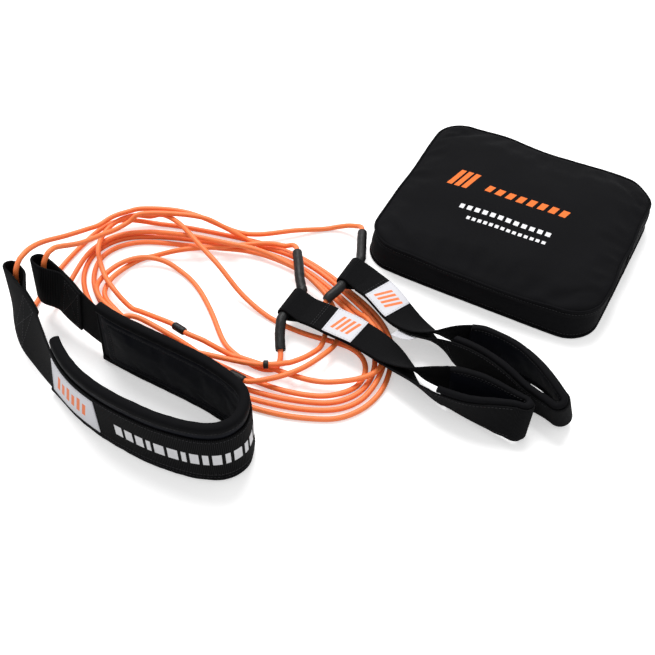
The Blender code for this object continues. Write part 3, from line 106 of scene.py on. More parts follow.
# Hand straps, by hinge: x, y, z, far and near lean in degrees, and opening between the layers
STRAP_WEBBING_WIDTH = 0.038
STRAP_WEBBING_THICKNESS = 0.0021
STRAP_PAD_WIDTH = 0.0465
STRAP_PAD_THICKNESS = 0.004
STRAP_TAPE_LEG = 0.0034
STRAP_LABEL_SIDE = 0.037
STRAP_STEP = 0.0045
STRAP_TURN_STEPS = 18
STRAP_TUNNEL_CLEARANCE = 0.0008
STRAPS = {
    "strap_1": ((-0.0269, -0.0674, 0.024), 0.032, 0.186, (
        (-0.0089, -0.0679, 0.024, 0, 0, 0), (0.0171, -0.0694, 0.0245, 0, 0, 0),
        (0.0411, -0.0709, 0.0245, 0, 0, 0), (0.0611, -0.0724, 0.024, 3, 3, 0),
        (0.0811, -0.0754, 0.023, 8, 8, 0), (0.1011, -0.0804, 0.0215, 18, 17, 0.003),
        (0.1211, -0.0874, 0.0205, 40, 36, 0.006), (0.1391, -0.0929, 0.0205, 64, 54, 0.012),
        (0.1591, -0.0954, 0.0235, 84, 64, 0.021), (0.1821, -0.0954, 0.026, 96, 68, 0.029),
        (0.2071, -0.0949, 0.0264, 101, 78, 0.033), (0.2321, -0.0944, 0.0263, 104, 96, 0.03),
        (0.2521, -0.0944, 0.0262, 108, 110, 0.024),
    )),
    "strap_2": ((0.0081, 0.0056, 0.025), 0.022, 0.146, (
        (0.0271, 0.0036, 0.0255, 0, 0, 0), (0.0461, -0.0034, 0.025, 0, 0, 0),
        (0.0641, -0.0119, 0.024, 0, 0, 0), (0.0811, -0.0204, 0.0225, 4, 4, 0),
        (0.0991, -0.0269, 0.0205, 15, 14, 0.0025), (0.1171, -0.0304, 0.0195, 32, 30, 0.005),
        (0.1351, -0.0324, 0.0205, 54, 50, 0.01), (0.1531, -0.0334, 0.0243, 78, 74, 0.022),
        (0.1751, -0.0344, 0.0272, 98, 92, 0.036), (0.1991, -0.0364, 0.0278, 98, 96, 0.042),
        (0.2231, -0.0404, 0.0272, 92, 92, 0.043), (0.2471, -0.0469, 0.0268, 80, 80, 0.038),
        (0.2691, -0.0554, 0.0268, 73, 73, 0.03), (0.2851, -0.0634, 0.0266, 72, 72, 0.022),
    )),
}
CARE_LABEL_START = 0.078
CARE_LABEL_LENGTH = 0.022

# Hoses and sleeves
HOSE_DIAMETER = 0.0115
HOSE_BORE = 0.0074
HOSE_ROUTES = {
    "hose_1": metres((
        (-619, 46, 270), (-509, -114, 275), (-399, -284, 265), (-309, -404, 246), (-269, -474, 240),
        (-269, -874, 240), (-249, -964, 225), (-189, -1094, 175), (-99, -1234, 120),
    )),
    "hose_2": metres((
        (-119, 736, 240), (-29, 546, 245), (51, 376, 250), (81, 266, 250), (81, -154, 250),
        (71, -254, 248), (41, -354, 235), (26, -424, 210),
    )),
}
SPLICE_DIAMETER = 0.0092
SPLICE_RUNS = {
    "splice_1": ((-0.04164, -0.17593, 0.01131), (-0.02216, -0.17787, 0.01244)),
    "splice_2a": ((-0.11211, -0.15644, 0.01931), (-0.12869, -0.15336, 0.01869)),
    "splice_2b": ((-0.0133, -0.15377, 0.0185), (-0.0085, -0.15103, 0.0185)),
}

# Pouch
POUCH_LENGTH = 0.284
POUCH_DEPTH = 0.252
POUCH_LEFT = -0.0049
POUCH_FRONT = 0.0511
POUCH_CORNER = 0.034
POUCH_SHELL = 0.0022
POUCH_SEAM = 0.040
POUCH_CROWN = 0.0075
ZIP_HEIGHT = 0.026
ZIP_OPENING = 0.008
ZIP_SIDE_REACH = 0.110
FOLD_HEIGHT = ZIP_HEIGHT + ZIP_OPENING / 2
FOLD_FABRIC_WIDTH = 0.0090
KEPT_REACH = 0.0065
ZIP_TAPE_FOOT = 0.0025
ZIP_TAPE_HEIGHT = 0.0083
PIPING_DIAMETER = 0.0032
POUCH_PULLS = (((-0.0049, 0.0511), 0.0075, 0.050), ((0.2791, 0.3031), 0.0085, 0.030),
               ((-0.0049, 0.3031), 0.0030, 0.026), ((0.2791, 0.0511), 0.0030, 0.040))
POUCH_MIDDLE = (POUCH_LEFT + POUCH_LENGTH / 2, POUCH_FRONT + POUCH_DEPTH / 2)
POUCH_BACK = POUCH_FRONT + POUCH_DEPTH
POUCH_RIGHT = POUCH_LEFT + POUCH_LENGTH
ZIP_REACH = POUCH_BACK - ZIP_SIDE_REACH

# Cord routes from one sleeve round to the next
CORD_ROUTES = {
    "cord_1": (
        *metres((
            (-314, -1769, 119), (-209, -1780, 125), (-136, -1762, 134), (43, -1645, 167),
            (236, -1401, 167), (359, -1103, 163), (379, -850, 100), (331, -654, 100), (223, -498, 88),
            (-64, -280, 141), (-388, -149, 173), (-579, -104, 173), (-1025, -81, 201),
            (-1460, -165, 203), (-1897, -268, 203), (-2325, -334, 127), (-2537, -409, 100),
            (-2718, -550, 99), (-2811, -688, 100), (-2873, -877, 100), (-2876, -1105, 99),
            (-2771, -1523, 95), (-2747, -1658, 30), (-2741, -1814, 60), (-2749, -1912, 160),
            (-2749, -1918, 240), (-2657, -1906, 780), (-2648, -1890, 840), (-2639, -1844, 886),
            (-2638, -1811, 899), (-2640, -1742, 897), (-2647, -1643, 852), (-2698, -1282, 575),
            (-2749, -894, 350), (-2749, -654, 240), (-2675, -447, 241), (-2598, -351, 316),
            (-2296, -168, 316), (-1883, -28, 316), (-1629, 26, 231), (-1208, 105, 66), (-776, 133, 69),
            (-352, 66, 69), (58, -74, 58), (447, -235, 50), (708, -404, 59), (857, -576, 62),
            (956, -804, 62), (1002, -1113, 62), (965, -1330, 30), (896, -1472, 30), (756, -1614, 30),
            (437, -1768, 30), (4, -1882, 30), (-438, -1930, 30), (-881, -1926, 30), (-1312, -1882, 30),
            (-1737, -1794, 30), (-2151, -1640, 30), (-2507, -1405, 30), (-2669, -1208, 30),
            (-2749, -1021, 30), (-2759, -922, 30), (-2719, -764, 30), (-2632, -629, 30),
            (-2436, -470, 30), (-2027, -309, 30), (-1618, -184, 63), (-1218, -37, 66), (-772, -6, 66),
            (-363, -78, 66), (50, -230, 54), (451, -404, 30), (716, -619, 30), (855, -824, 30),
            (917, -1033, 30), (917, -1187, 30), (866, -1346, 30), (773, -1472, 30), (617, -1587, 30),
            (211, -1734, 30), (-206, -1811, 30), (-629, -1834, 30), (-1050, -1807, 30),
            (-1479, -1744, 30), (-1913, -1645, 85), (-2282, -1504, 85), (-2329, -1464, 85),
            (-2373, -1386, 81), (-2412, -1177, 72), (-2380, -862, 30), (-2330, -750, 30),
            (-2229, -634, 30), (-1896, -432, 124), (-1539, -199, 132), (-1182, 54, 136),
            (-1029, 146, 136), (-869, 191, 134), (-776, 189, 192), (-674, 121, 255),
        )),
        *HOSE_ROUTES["hose_1"],
        *metres((
            (-54, -1319, 85), (-44, -1404, 55), (-60, -1442, 30), (-89, -1474, 30), (-118, -1489, 30),
            (-257, -1508, 30), (-593, -1447, 30), (-773, -1360, 30), (-1113, -1064, 30),
            (-1460, -816, 30), (-1760, -692, 30), (-1992, -671, 73), (-2179, -709, 93),
            (-2289, -764, 99), (-2396, -872, 99), (-2469, -1014, 97), (-2506, -1241, 94),
            (-2489, -1364, 103), (-2444, -1446, 124), (-2355, -1532, 129), (-2096, -1642, 145),
            (-1667, -1731, 145), (-1230, -1770, 120), (-986, -1776, 98), (-685, -1771, 99),
            (-509, -1757, 108), (-429, -1758, 112), (-324, -1769, 118),
        )),
    ),
    "cord_2": (
        *metres((
            (-105, -1522, 185), (-74, -1504, 185), (-8, -1459, 180), (71, -1394, 168),
            (93, -1369, 158), (153, -1285, 152), (233, -1104, 124), (254, -971, 90), (251, -904, 97),
            (227, -811, 97), (182, -722, 97), (41, -472, 193),
        )),
        *HOSE_ROUTES["hose_2"][::-1],
        *metres((
            (-189, 846, 200), (-289, 896, 140), (-382, 900, 104), (-503, 864, 59), (-669, 756, 30),
            (-944, 513, 78), (-1276, 227, 98), (-1532, 113, 128), (-1959, 46, 228), (-2286, -22, 255),
            (-2676, -200, 255), (-2796, -300, 237), (-2909, -464, 237), (-2972, -671, 232),
            (-2965, -888, 341), (-2925, -1256, 563), (-2890, -1628, 799), (-2856, -1856, 905),
            (-2833, -2000, 924), (-2826, -2069, 911), (-2826, -2138, 855), (-2829, -2152, 800),
            (-2884, -2201, 220), (-2888, -2196, 160), (-2895, -2164, 105), (-2909, -2099, 60),
            (-2948, -1945, 30), (-2997, -1748, 30), (-3072, -1313, 30), (-3088, -871, 30),
            (-3051, -649, 65), (-2969, -474, 100), (-2829, -324, 100), (-2442, -120, 30),
            (-2011, 8, 30), (-1599, 102, 30), (-1177, 180, 30), (-742, 200, 30), (-303, 122, 30),
            (125, -24, 30), (515, -184, 30), (779, -372, 30), (951, -594, 30), (1070, -951, 30),
            (1088, -1195, 30), (1031, -1434, 30), (907, -1628, 30), (766, -1743, 30), (365, -1909, 30),
            (-64, -1996, 30), (-503, -2024, 30), (-942, -2011, 30), (-1381, -1961, 30),
            (-1814, -1869, 30), (-2230, -1718, 30), (-2604, -1472, 30), (-2779, -1255, 30),
            (-2858, -1049, 30), (-2867, -890, 30), (-2829, -734, 30), (-2751, -602, 30),
            (-2594, -460, 30), (-2199, -262, 30), (-1777, -119, 30), (-1360, 5, 30), (-930, 65, 30),
            (-509, 36, 30), (-92, -94, 30), (320, -259, 30), (491, -344, 100), (726, -519, 129),
            (931, -794, 132), (977, -899, 132), (977, -969, 132), (931, -1074, 131), (791, -1214, 120),
            (514, -1379, 95), (236, -1453, 100), (-199, -1491, 100), (-454, -1517, 98),
            (-550, -1528, 88), (-800, -1561, 168), (-891, -1568, 193), (-1029, -1573, 195),
            (-1108, -1567, 194), (-1199, -1550, 190),
        )),
    ),
    "cord_2_short": metres((
        (-1209, -1548, 190), (-1300, -1531, 186), (-1378, -1522, 179), (-1762, -1497, 116),
        (-1914, -1479, 76), (-2079, -1444, 119), (-2222, -1396, 159), (-2458, -1258, 161),
        (-2749, -994, 168), (-2849, -814, 168), (-2889, -614, 168), (-2871, -445, 167),
        (-2811, -334, 167), (-2719, -244, 167), (-2568, -175, 153), (-2404, -150, 235),
        (-2122, -198, 263), (-1734, -377, 263), (-1324, -557, 237), (-916, -716, 103),
        (-483, -817, 30), (-59, -836, 30), (359, -775, 30), (551, -764, 30), (678, -808, 30),
        (753, -864, 30), (820, -966, 30), (845, -1058, 30), (841, -1194, 30), (797, -1318, 50),
        (699, -1444, 63), (541, -1551, 63), (177, -1662, 63), (-271, -1676, 30), (-698, -1669, 30),
        (-1129, -1674, 164), (-1579, -1645, 203), (-1729, -1644, 211), (-1824, -1677, 211),
        (-1869, -1714, 211), (-1894, -1782, 209), (-1889, -1854, 204), (-1855, -1905, 191),
        (-1769, -1964, 174), (-1657, -1983, 142), (-1442, -1954, 170), (-1025, -1790, 170),
        (-879, -1734, 170), (-636, -1668, 161), (-380, -1611, 166), (-218, -1573, 181),
        (-144, -1544, 185), (-113, -1526, 185),
    )),
}

# Plain print: belt bars as width, low and high; pouch bars as along, across and slant, with dashes
BELT_PRINT_START = 0.234
BELT_PRINT_LOW = -0.0095
BELT_PRINT_HIGH = 0.0065
BELT_PRINT_WIDTHS = (9, 9, 9, 5, 11, 11, 5, 9, 6, 9, 5, 9, 5, 9, 9)
POUCH_PRINT = (
    ((0.90, 0.20, 0.045), (
        (0.0535, 0.0600, 0.1780, 0.2080, 0.25, 0.0, -0.049),
        (0.0630, 0.0695, 0.1780, 0.2080, 0.25, 0.0, -0.049),
        (0.0725, 0.0790, 0.1780, 0.2080, 0.25, 0.0, -0.049),
        (0.0985, 0.2009, 0.1845, 0.1965, 0.25, 0.0135, -0.049),
    )),
    ((0.86, 0.86, 0.88), (
        (0.0800, 0.1937, 0.1448, 0.1518, 0.0, 0.0098, 0.0),
        (0.0950, 0.1929, 0.1305, 0.1355, 0.0, 0.0072, 0.0),
    )),
)

# Swelling of padded pieces, and how far the straps rise off the floor
SEWN_END_RINGS = 3
PAD_SEWN_ROW = 0.0065
LINING_BORDER = 0.0085
PAD_PRESSURE = 3.0
PAD_GROWTH = 0.004
BELT_PAD_SWELL = 0.0022
STRAP_PAD_SWELL = 0.0020
STRAP_HELD_REACH = 0.014
STRAP_RISE = 0.0032
POUCH_TOP_PRESSURE = 1.2
POUCH_TOP_GROWTH = 0.012
POUCH_TOP_SWELL = 0.0030
POUCH_TOP_STIFFNESS = 6.0

# Cords and hoses as drawn
CORD_STEP = 0.0042
CORD_SIDES = 12
CORD_ROUNDS = 9
CORD_HELD_REACH = 0.022
HOSE_STEP = 0.0022
HOSE_SIDES = 28
STATION_MARGIN = 0.2

# Stage
FLOOR_REACH = 6.0
FLOOR_DROP = 0.0002
FLOOR_GLOW = 0.45
WORLD_LIGHT = 0.64
KEY_FROM = (-0.45, 0.55, 1.25)
KEY_STRENGTH = 2.6
KEY_SPREAD = 32.0
CAMERA_DISTANCE = 1.1285
CAMERA_TARGET = (0.0141, -0.0606, 0.0)
CAMERA_RISE = 48.9
CAMERA_TURN = 28.7
CAMERA_LENS = 54.96


class TrainerSizes(bpy.types.PropertyGroup):
    """Sizes of the soft surface that a user may change."""

    cord_diameter: FloatProperty(
        name="Cord", description="Diameter of the elastic cord", default=0.006, unit="LENGTH")
    stitch_pitch: FloatProperty(
        name="Stitch pitch", description="Distance from one stitch to the next", default=0.0036,
        unit="LENGTH")
    stitch_length: FloatProperty(
        name="Stitch length", description="Length of one stitch", default=0.0026, unit="LENGTH")
    stitch_width: FloatProperty(
        name="Thread", description="Thickness of the sewing thread", default=0.0006, unit="LENGTH")
    tooth_pitch: FloatProperty(
        name="Tooth pitch", description="Distance between two zip teeth", default=0.0022, unit="LENGTH")
    rib_pitch: FloatProperty(
        name="Rib pitch", description="Distance between two ribs of the belt's webbing", default=0.0019,
        unit="LENGTH")
    sag: FloatProperty(
        name="Pouch sag", description="How far the pouch's walls give way", default=0.0055, unit="LENGTH")
    swell_frames: IntProperty(
        name="Swell steps", description="Steps for which padded pieces are left to swell", default=16)


class TrainerColours(bpy.types.PropertyGroup):
    """Colours of the trainer's finishes."""

    cord: FloatVectorProperty(
        name="Cord", description="Cover of the elastic cord", subtype="COLOR", size=3,
        default=(0.98, 0.20, 0.042))
    webbing: FloatVectorProperty(
        name="Webbing", description="Belt and strap webbing", subtype="COLOR", size=3,
        default=(0.0042, 0.0042, 0.0046))
    padding: FloatVectorProperty(
        name="Padding", description="Smooth knit over the foam", subtype="COLOR", size=3,
        default=(0.0020, 0.0024, 0.0045))
    binding: FloatVectorProperty(
        name="Binding", description="Edge tapes, piping and zip tapes", subtype="COLOR", size=3,
        default=(0.0028, 0.0028, 0.0034))
    hose: FloatVectorProperty(
        name="Hose", description="Hoses and sleeves", subtype="COLOR", size=3,
        default=(0.0048, 0.0046, 0.0048))
    pouch: FloatVectorProperty(
        name="Pouch", description="Woven pouch fabric", subtype="COLOR", size=3,
        default=(0.0044, 0.0044, 0.0052))
    label: FloatVectorProperty(
        name="Label", description="Woven label", subtype="COLOR", size=3, default=(0.69, 0.69, 0.73))
    mark: FloatVectorProperty(
        name="Mark", description="Plain bars on labels and pouch", subtype="COLOR", size=3,
        default=(0.86, 0.19, 0.045))


class Value:
    """A number socket that adds its own Math nodes where it is used in an expression."""

    def __init__(self, look, socket):
        self.look = look
        self.socket = socket

    def math(self, operation, other=None, flip=False):
        pair = [self] if other is None else ([other, self] if flip else [self, other])
        return self.look.node("ShaderNodeMath", {"operation": operation}, dict(enumerate(pair)))

    __add__ = __radd__ = partialmethod(math, "ADD")
    __sub__ = partialmethod(math, "SUBTRACT")
    __rsub__ = partialmethod(math, "SUBTRACT", flip=True)
    __mul__ = __rmul__ = partialmethod(math, "MULTIPLY")
    __truediv__ = partialmethod(math, "DIVIDE")
    __gt__ = partialmethod(math, "GREATER_THAN")
    __lt__ = partialmethod(math, "LESS_THAN")
    most = partialmethod(math, "MAXIMUM")
    sine = partialmethod(math, "SINE")


class Look:
    """A material with a Principled shader, and the nodes that feed it."""

    def __init__(self, name, roughness, specular=0.5):
        self.material = bpy.data.materials.new(name)
        self.material.use_nodes = True
        self.tree = self.material.node_tree
        self.shader = self.tree.nodes["Principled BSDF"]
        self.shader.inputs["Roughness"].default_value = roughness
        self.shader.inputs["Specular IOR Level"].default_value = specular

    def node(self, kind, settings=None, values=None, out=0):
        """Adds a node, sets it up, fills its inputs and returns one output."""
        made = self.tree.nodes.new(kind)
        for key, value in (settings or {}).items():
            setattr(made, key, value)
        for key, value in (values or {}).items():
            self.feed(made.inputs[key], value)
        return Value(self, made.outputs[out])

    def feed(self, socket, value):
        if isinstance(value, Value):
            self.tree.links.new(value.socket, socket)
        else:
            socket.default_value = value

    def ramp(self, factor, stops):
        """A colour ramp with the given stops of place and colour."""
        made = self.tree.nodes.new("ShaderNodeValToRGB")
        band = made.color_ramp
        band.elements[0].position, band.elements[0].color = stops[0][0], (*stops[0][1], 1)
        band.elements[1].position, band.elements[1].color = stops[-1][0], (*stops[-1][1], 1)
        for place, colour in stops[1:-1]:
            band.elements.new(place).color = (*colour, 1)
        self.feed(made.inputs["Fac"], factor)
        return Value(self, made.outputs["Color"])

    def mix(self, factor, first, second):
        """One colour over another."""
        made = self.tree.nodes.new("ShaderNodeMix")
        made.data_type = "RGBA"
        self.feed(made.inputs[0], factor)
        for index, value in ((6, first), (7, second)):
            self.feed(made.inputs[index], value if isinstance(value, Value) else (*value, 1))
        return Value(self, made.outputs[2])

    def noise(self, scale, detail=2.0, place=None, stretch=None):
        """Noise over the piece, in cycles per metre."""
        place = place or self.node("ShaderNodeTexCoord", out=3)
        if stretch:
            place = self.node("ShaderNodeMapping", None, {"Vector": place, "Scale": stretch})
        return self.node("ShaderNodeTexNoise", None, {"Vector": place, "Scale": scale, "Detail": detail})

    def run_map(self):
        """The piece's own map, as one place."""
        return self.node("ShaderNodeUVMap", {"uv_map": "run"})

    def run(self):
        """The piece's own map: metres along and metres across."""
        parts = self.tree.nodes.new("ShaderNodeSeparateXYZ")
        self.feed(parts.inputs[0], self.run_map())
        return Value(self, parts.outputs[0]), Value(self, parts.outputs[1])

    def colour(self, value):
        self.feed(self.shader.inputs["Base Color"], value)

    def rough(self, value):
        self.feed(self.shader.inputs["Roughness"], value)

    def bump(self, height, distance, strength=1.0):
        """Relief from a height between nought and one."""
        values = {"Strength": strength, "Distance": distance, "Height": height}
        made = self.node("ShaderNodeBump", None, values)
        self.feed(self.shader.inputs["Normal"], made)

    def sheen(self, weight, roughness=0.4):
        self.shader.inputs["Sheen Weight"].default_value = weight
        self.shader.inputs["Sheen Roughness"].default_value = roughness


def shade(colour, factor):
    return tuple(channel * factor for channel in colour)


def wave(value, pitch):
    """A wave between nought and one with the given pitch in metres."""
    return (value * (math.tau / pitch)).sine() * 0.5 + 0.5


def bar(along, across, a, b, low, high, slant=0.0, pitch=0.0, shift=0.0):
    """One inside a bar or a row of dashes, which may lean, and nought outside."""
    leaned = along - across * slant - shift if slant or shift else along
    mask = (leaned > a) * (leaned < b) * (across > low) * (across < high)
    if pitch:
        mask = mask * (((leaned - a) * (math.tau / pitch)).sine() > -0.35)
    return mask


def bars_mask(along, across, bars):
    """One inside any of several bars, and nought elsewhere."""
    mask = None
    for measures in bars:
        one = bar(along, across, *measures)
        mask = one if mask is None else mask.most(one)
    return mask


def webbing_look(name, colour, pitch, cross):
    """Ribbed woven webbing, its ribs across the band, with painted highlights on the rib crowns and painted
    shade in the grooves.
    """
    look = Look(name, 0.85, 0.05)
    along, across = look.run()
    ribs = wave(along, pitch)
    picks = wave(across, cross)
    worn = look.noise(35, 4)
    dust = look.noise(900, 2)
    weave = ribs * 0.7 + picks * ribs * 0.3
    # Painted light: the rib crowns are painted up to 4.5 times lighter as a painted highlight and the grooves
    # darker as painted shade; the dust is real random tone.
    base = look.ramp(weave * 0.75 + dust * 0.25,
                     ((0.1, shade(colour, 0.3)), (0.5, colour), (0.95, shade(colour, 4.5))))
    look.colour(look.mix(worn * 0.3, base, shade(colour, 1.5)))
    look.rough(0.92 - weave * 0.16)
    look.bump(weave + dust * 0.2, 0.00022)
    look.sheen(0.009)
    return look.material


def padding_look(name, colour):
    """Smooth fine knit over foam, with a slight blue cast."""
    look = Look(name, 0.62, 0.085)
    cloth = look.noise(1500, 2)
    soft = look.noise(60, 3)
    base = look.ramp(soft, ((0.3, shade(colour, 0.8)), (0.7, shade(colour, 1.35))))
    look.colour(look.mix(cloth * 0.4, base, shade(colour, 1.7)))
    look.rough(0.7 - cloth * 0.15)
    look.bump(cloth * 0.4 + soft * 0.8, 0.0003)
    look.sheen(0.012)
    return look.material


def binding_look(name, colour):
    """Fine twill tape."""
    look = Look(name, 0.7, 0.05)
    along, across = look.run()
    twill = wave(along + across, 0.0009)
    soft = look.noise(120, 3)
    look.colour(look.ramp(twill * 0.6 + soft * 0.4, ((0.15, shade(colour, 0.7)), (0.85, shade(colour, 1.7)))))
    look.rough(0.8 - twill * 0.15)
    look.bump(twill * 0.25 + soft, 0.00022)
    look.sheen(0.009)
    return look.material


def pouch_look(name, colour, printed=()):
    """Plain woven nylon, with plain printed bars where they are given."""
    look = Look(name, 0.72, 0.06)
    along, across = look.run()
    weave = wave(along, 0.0011) * wave(across, 0.0011)
    cloud = look.noise(14, 4)
    fine = look.noise(1300, 2)
    base = look.ramp(cloud * 0.6 + weave * 0.25 + fine * 0.15,
                     ((0.2, shade(colour, 0.75)), (0.5, colour), (0.85, shade(colour, 1.6))))
    rough = 0.84 - weave * 0.14
    for tint, bars in printed:
        mask = bars_mask(along, across, bars)
        base = look.mix(mask * (1 - fine * 0.12), base, tint)
        rough = rough - mask * 0.2
    look.colour(base)
    look.rough(rough)
    look.bump(weave * 0.5 + cloud * 0.5 + fine * 0.3, 0.00022)
    look.sheen(0.012)
    return look.material


def label_look(name, colour, tint, bars):
    """Satin label with plain slanted bars."""
    look = Look(name, 0.5, 0.4)
    along, across = look.run()
    satin = wave(across, 0.0006)
    soft = look.noise(150, 3)
    base = look.ramp(satin * 0.5 + soft * 0.5, ((0.1, shade(colour, 0.9)), (0.9, colour)))
    mask = bars_mask(along, across, bars)
    if mask is not None:
        base = look.mix(mask, base, tint)
    look.colour(base)
    look.rough(0.55 - satin * 0.1)
    look.bump(satin * 0.4 + soft, 0.0002)
    return look.material


def cord_look(name, colour):
    """Braided cover: two families of strands that cross, with painted highlights on their crowns and painted
    shade between them.
    """
    look = Look(name, 0.42, 0.5)
    along, around = look.run()
    right = (along * (math.tau / 0.0026) + around * (math.tau * 8)).sine() * 0.5 + 0.5
    left = (along * (math.tau / 0.0026) - around * (math.tau * 8)).sine() * 0.5 + 0.5
    braid = right.most(left)
    patch = look.noise(60, 3)
    # Painted highlight: the strands' crowns are painted a lighter, paler orange, and the hollows between them
    # darker as painted shade.
    crown_highlight = (colour[0], colour[1] * 1.25, colour[2] * 1.6)
    base = look.ramp(braid * 0.8 + patch * 0.2, ((0.25, shade(colour, 0.86)), (0.6, colour), (1.0, crown_highlight)))
    look.colour(base)
    look.rough(0.56 - braid * 0.12)
    look.bump(braid, 0.00010)
    look.sheen(0.05)
    return look.material


def hose_look(name, colour):
    """Satin shrunk hose with faint lengthwise creases, painted lighter on their ridges and darker in their
    folds as painted highlight and shade.
    """
    look = Look(name, 0.4, 0.24)
    crease = look.noise(2.2, 4, look.run_map(), (90.0, 9.0, 1.0))
    soft = look.noise(160, 3)
    # Painted light and shade: the colour follows the creases, lighter on their ridges and darker in their
    # folds.
    look.colour(look.ramp(crease * 0.6 + soft * 0.4, ((0.25, shade(colour, 0.7)), (0.8, shade(colour, 1.7)))))
    look.rough(0.34 + soft * 0.2)
    look.bump(crease + soft * 0.4, 0.0005)
    return look.material


def metal_look(name):
    """Black painted metal, rubbed bare in patches."""
    look = Look(name, 0.38, 0.5)
    rub = look.noise(420, 4)
    paint, worn, bare = (0.012, 0.012, 0.013), (0.03, 0.03, 0.032), (0.16, 0.16, 0.17)
    look.colour(look.ramp(rub, ((0.35, paint), (0.62, worn), (0.8, bare))))
    look.shader.inputs["Metallic"].default_value = 0.7
    look.rough(0.3 + rub * 0.2)
    look.bump(rub, 0.0001)
    return look.material


def thread_look(name, colour):
    """Twisted sewing thread."""
    look = Look(name, 0.6, 0.4)
    twist = look.noise(2500, 1)
    look.colour(look.ramp(twist, ((0.3, shade(colour, 0.7)), (0.7, shade(colour, 1.3)))))
    look.bump(twist, 0.0001)
    return look.material


def tangents(path, closed=False):
    """Unit directions along a path."""
    out = []
    last = len(path) - 1
    for i, point in enumerate(path):
        before = path[i - 1] if i > 0 or closed else point
        after = path[(i + 1) % len(path)] if i < last or closed else point
        out.append((after - before).normalized())
    return out


def frames_along(path, across):
    """A band's place, width direction and face direction at each point of its middle line."""
    out = []
    for point, along, width in zip(path, tangents(path), across):
        side = (width - along * width.dot(along)).normalized()
        out.append((point, side, along.cross(side)))
    return out


def ring_at(frames, position, section):
    """A section's ring at a position counted in frames."""
    low = max(0, min(int(position), len(frames) - 2))
    pair = frames[low:low + 2]
    start, end = ([place + side * a + face * b for a, b in section] for place, side, face in pair)
    return [first.lerp(second, position - low) for first, second in zip(start, end)]


def rings_between(frames, low, high, section):
    """Rings of a section between two positions; the section may depend on the share of the way along."""
    between = [float(i) for i in range(len(frames)) if low + STATION_MARGIN < i < high - STATION_MARGIN]
    out = []
    for place in [low] + between + [high]:
        share = (place - low) / (high - low)
        out.append(ring_at(frames, place, section(share) if callable(section) else section))
    return out


def smooth_rows(points):
    """Closely spaced rows on a smooth curve through rows of numbers, with each one's length along it."""
    rows = np.array(points, dtype=float)
    padded = np.vstack([2 * rows[0] - rows[1], rows, 2 * rows[-1] - rows[-2]])
    fine = []
    for a, b, c, d in zip(padded, padded[1:], padded[2:], padded[3:]):
        for t in np.linspace(0, 1, 12, endpoint=False):
            bend = (2 * a - 5 * b + 4 * c - d) * t**2 + (3 * b - a - 3 * c + d) * t**3
            fine.append(0.5 * (2 * b + (c - a) * t + bend))
    fine = np.array(fine + [rows[-1]])
    steps = np.linalg.norm(np.diff(fine[:, :3], axis=0), axis=1)
    return fine, np.concatenate([[0], np.cumsum(steps)])


def rows_at(points, marks, step):
    """A smooth curve's rows at stations through the marks, and the stations' lengths."""
    fine, lengths = smooth_rows(points)
    marks = sorted([0.0, lengths[-1]] + [mark if mark >= 0 else lengths[-1] + mark for mark in marks])
    at = [marks[0]]
    for start, end in zip(marks, marks[1:]):
        if end - start > GAP:
            count = max(1, round((end - start) / step))
            at += [start + (end - start) * (i + 1) / count for i in range(count)]
    at = np.array(at)
    return np.array([np.interp(at, lengths, column) for column in fine.T]).T, at


def waver(place, amount=0.0005):
    """A slight unevenness, the same for every layer at a place."""
    return noise.noise(place * 28) * amount


class BeltForm:
    """The belt's middle line as frames, one for each station from the outer tip to the inner one."""

    def __init__(self):
        sewn = BELT_TUNNEL_LENGTH + BELT_SEWN_LENGTH
        marks = (sewn, -sewn, BELT_PAD_FROM_TIP_A, -BELT_PAD_FROM_TIP_B)
        rows, self.at = rows_at(BELT_ROWS, marks, BELT_STATION_STEP)
        self.length = self.at[-1]
        leans = [math.radians(row[3]) for row in rows]
        path = [Vector((x, y, lift + self.standing(lean))) for (x, y, lift, _), lean in zip(rows, leans)]
        across = []
        for along, lean in zip(tangents(path), leans):
            outward = Vector((along.y, -along.x, 0)).normalized()
            across.append(Vector((0, 0, 1)) * math.cos(lean) - outward * math.sin(lean))
        self.frames = [(p + f * waver(p), s, f) for p, s, f in frames_along(path, across)]

    def standing(self, lean):
        """The webbing's middle height where the leaning pad's lowest corner just meets the floor."""
        down = BELT_WEBBING_LOW + BELT_WEBBING_WIDTH / 2
        outer = -BELT_WEBBING_THICKNESS / 2 + TAPE_THICKNESS
        inner = -BELT_WEBBING_THICKNESS / 2 - 3 * GAP - BELT_PAD_THICKNESS - TAPE_THICKNESS
        return down * math.cos(lean) - min(outer * math.sin(lean), inner * math.sin(lean)) + GAP / 4

    def position(self, s):
        """A length from the outer tip as a position counted in stations, carried on past the tips."""
        if s < 0:
            return s / self.at[1]
        if s > self.length:
            return len(self.at) - 1 + (s - self.length) / (self.length - self.at[-2])
        return float(np.interp(s, self.at, np.arange(len(self.at))))

    def rings(self, section, start, end):
        """Rings of a section between two lengths."""
        return rings_between(self.frames, self.position(start), self.position(end), section)

    def line(self, start, end, across, through):
        """A line on the belt between two lengths."""
        return [ring[0] for ring in self.rings([(across, through)], start, end)]

    def cross_line(self, s, low, high, through):
        """A line straight across the belt."""
        places = np.linspace(low, high, 12)
        return ring_at(self.frames, self.position(s), [(a, through) for a in places])


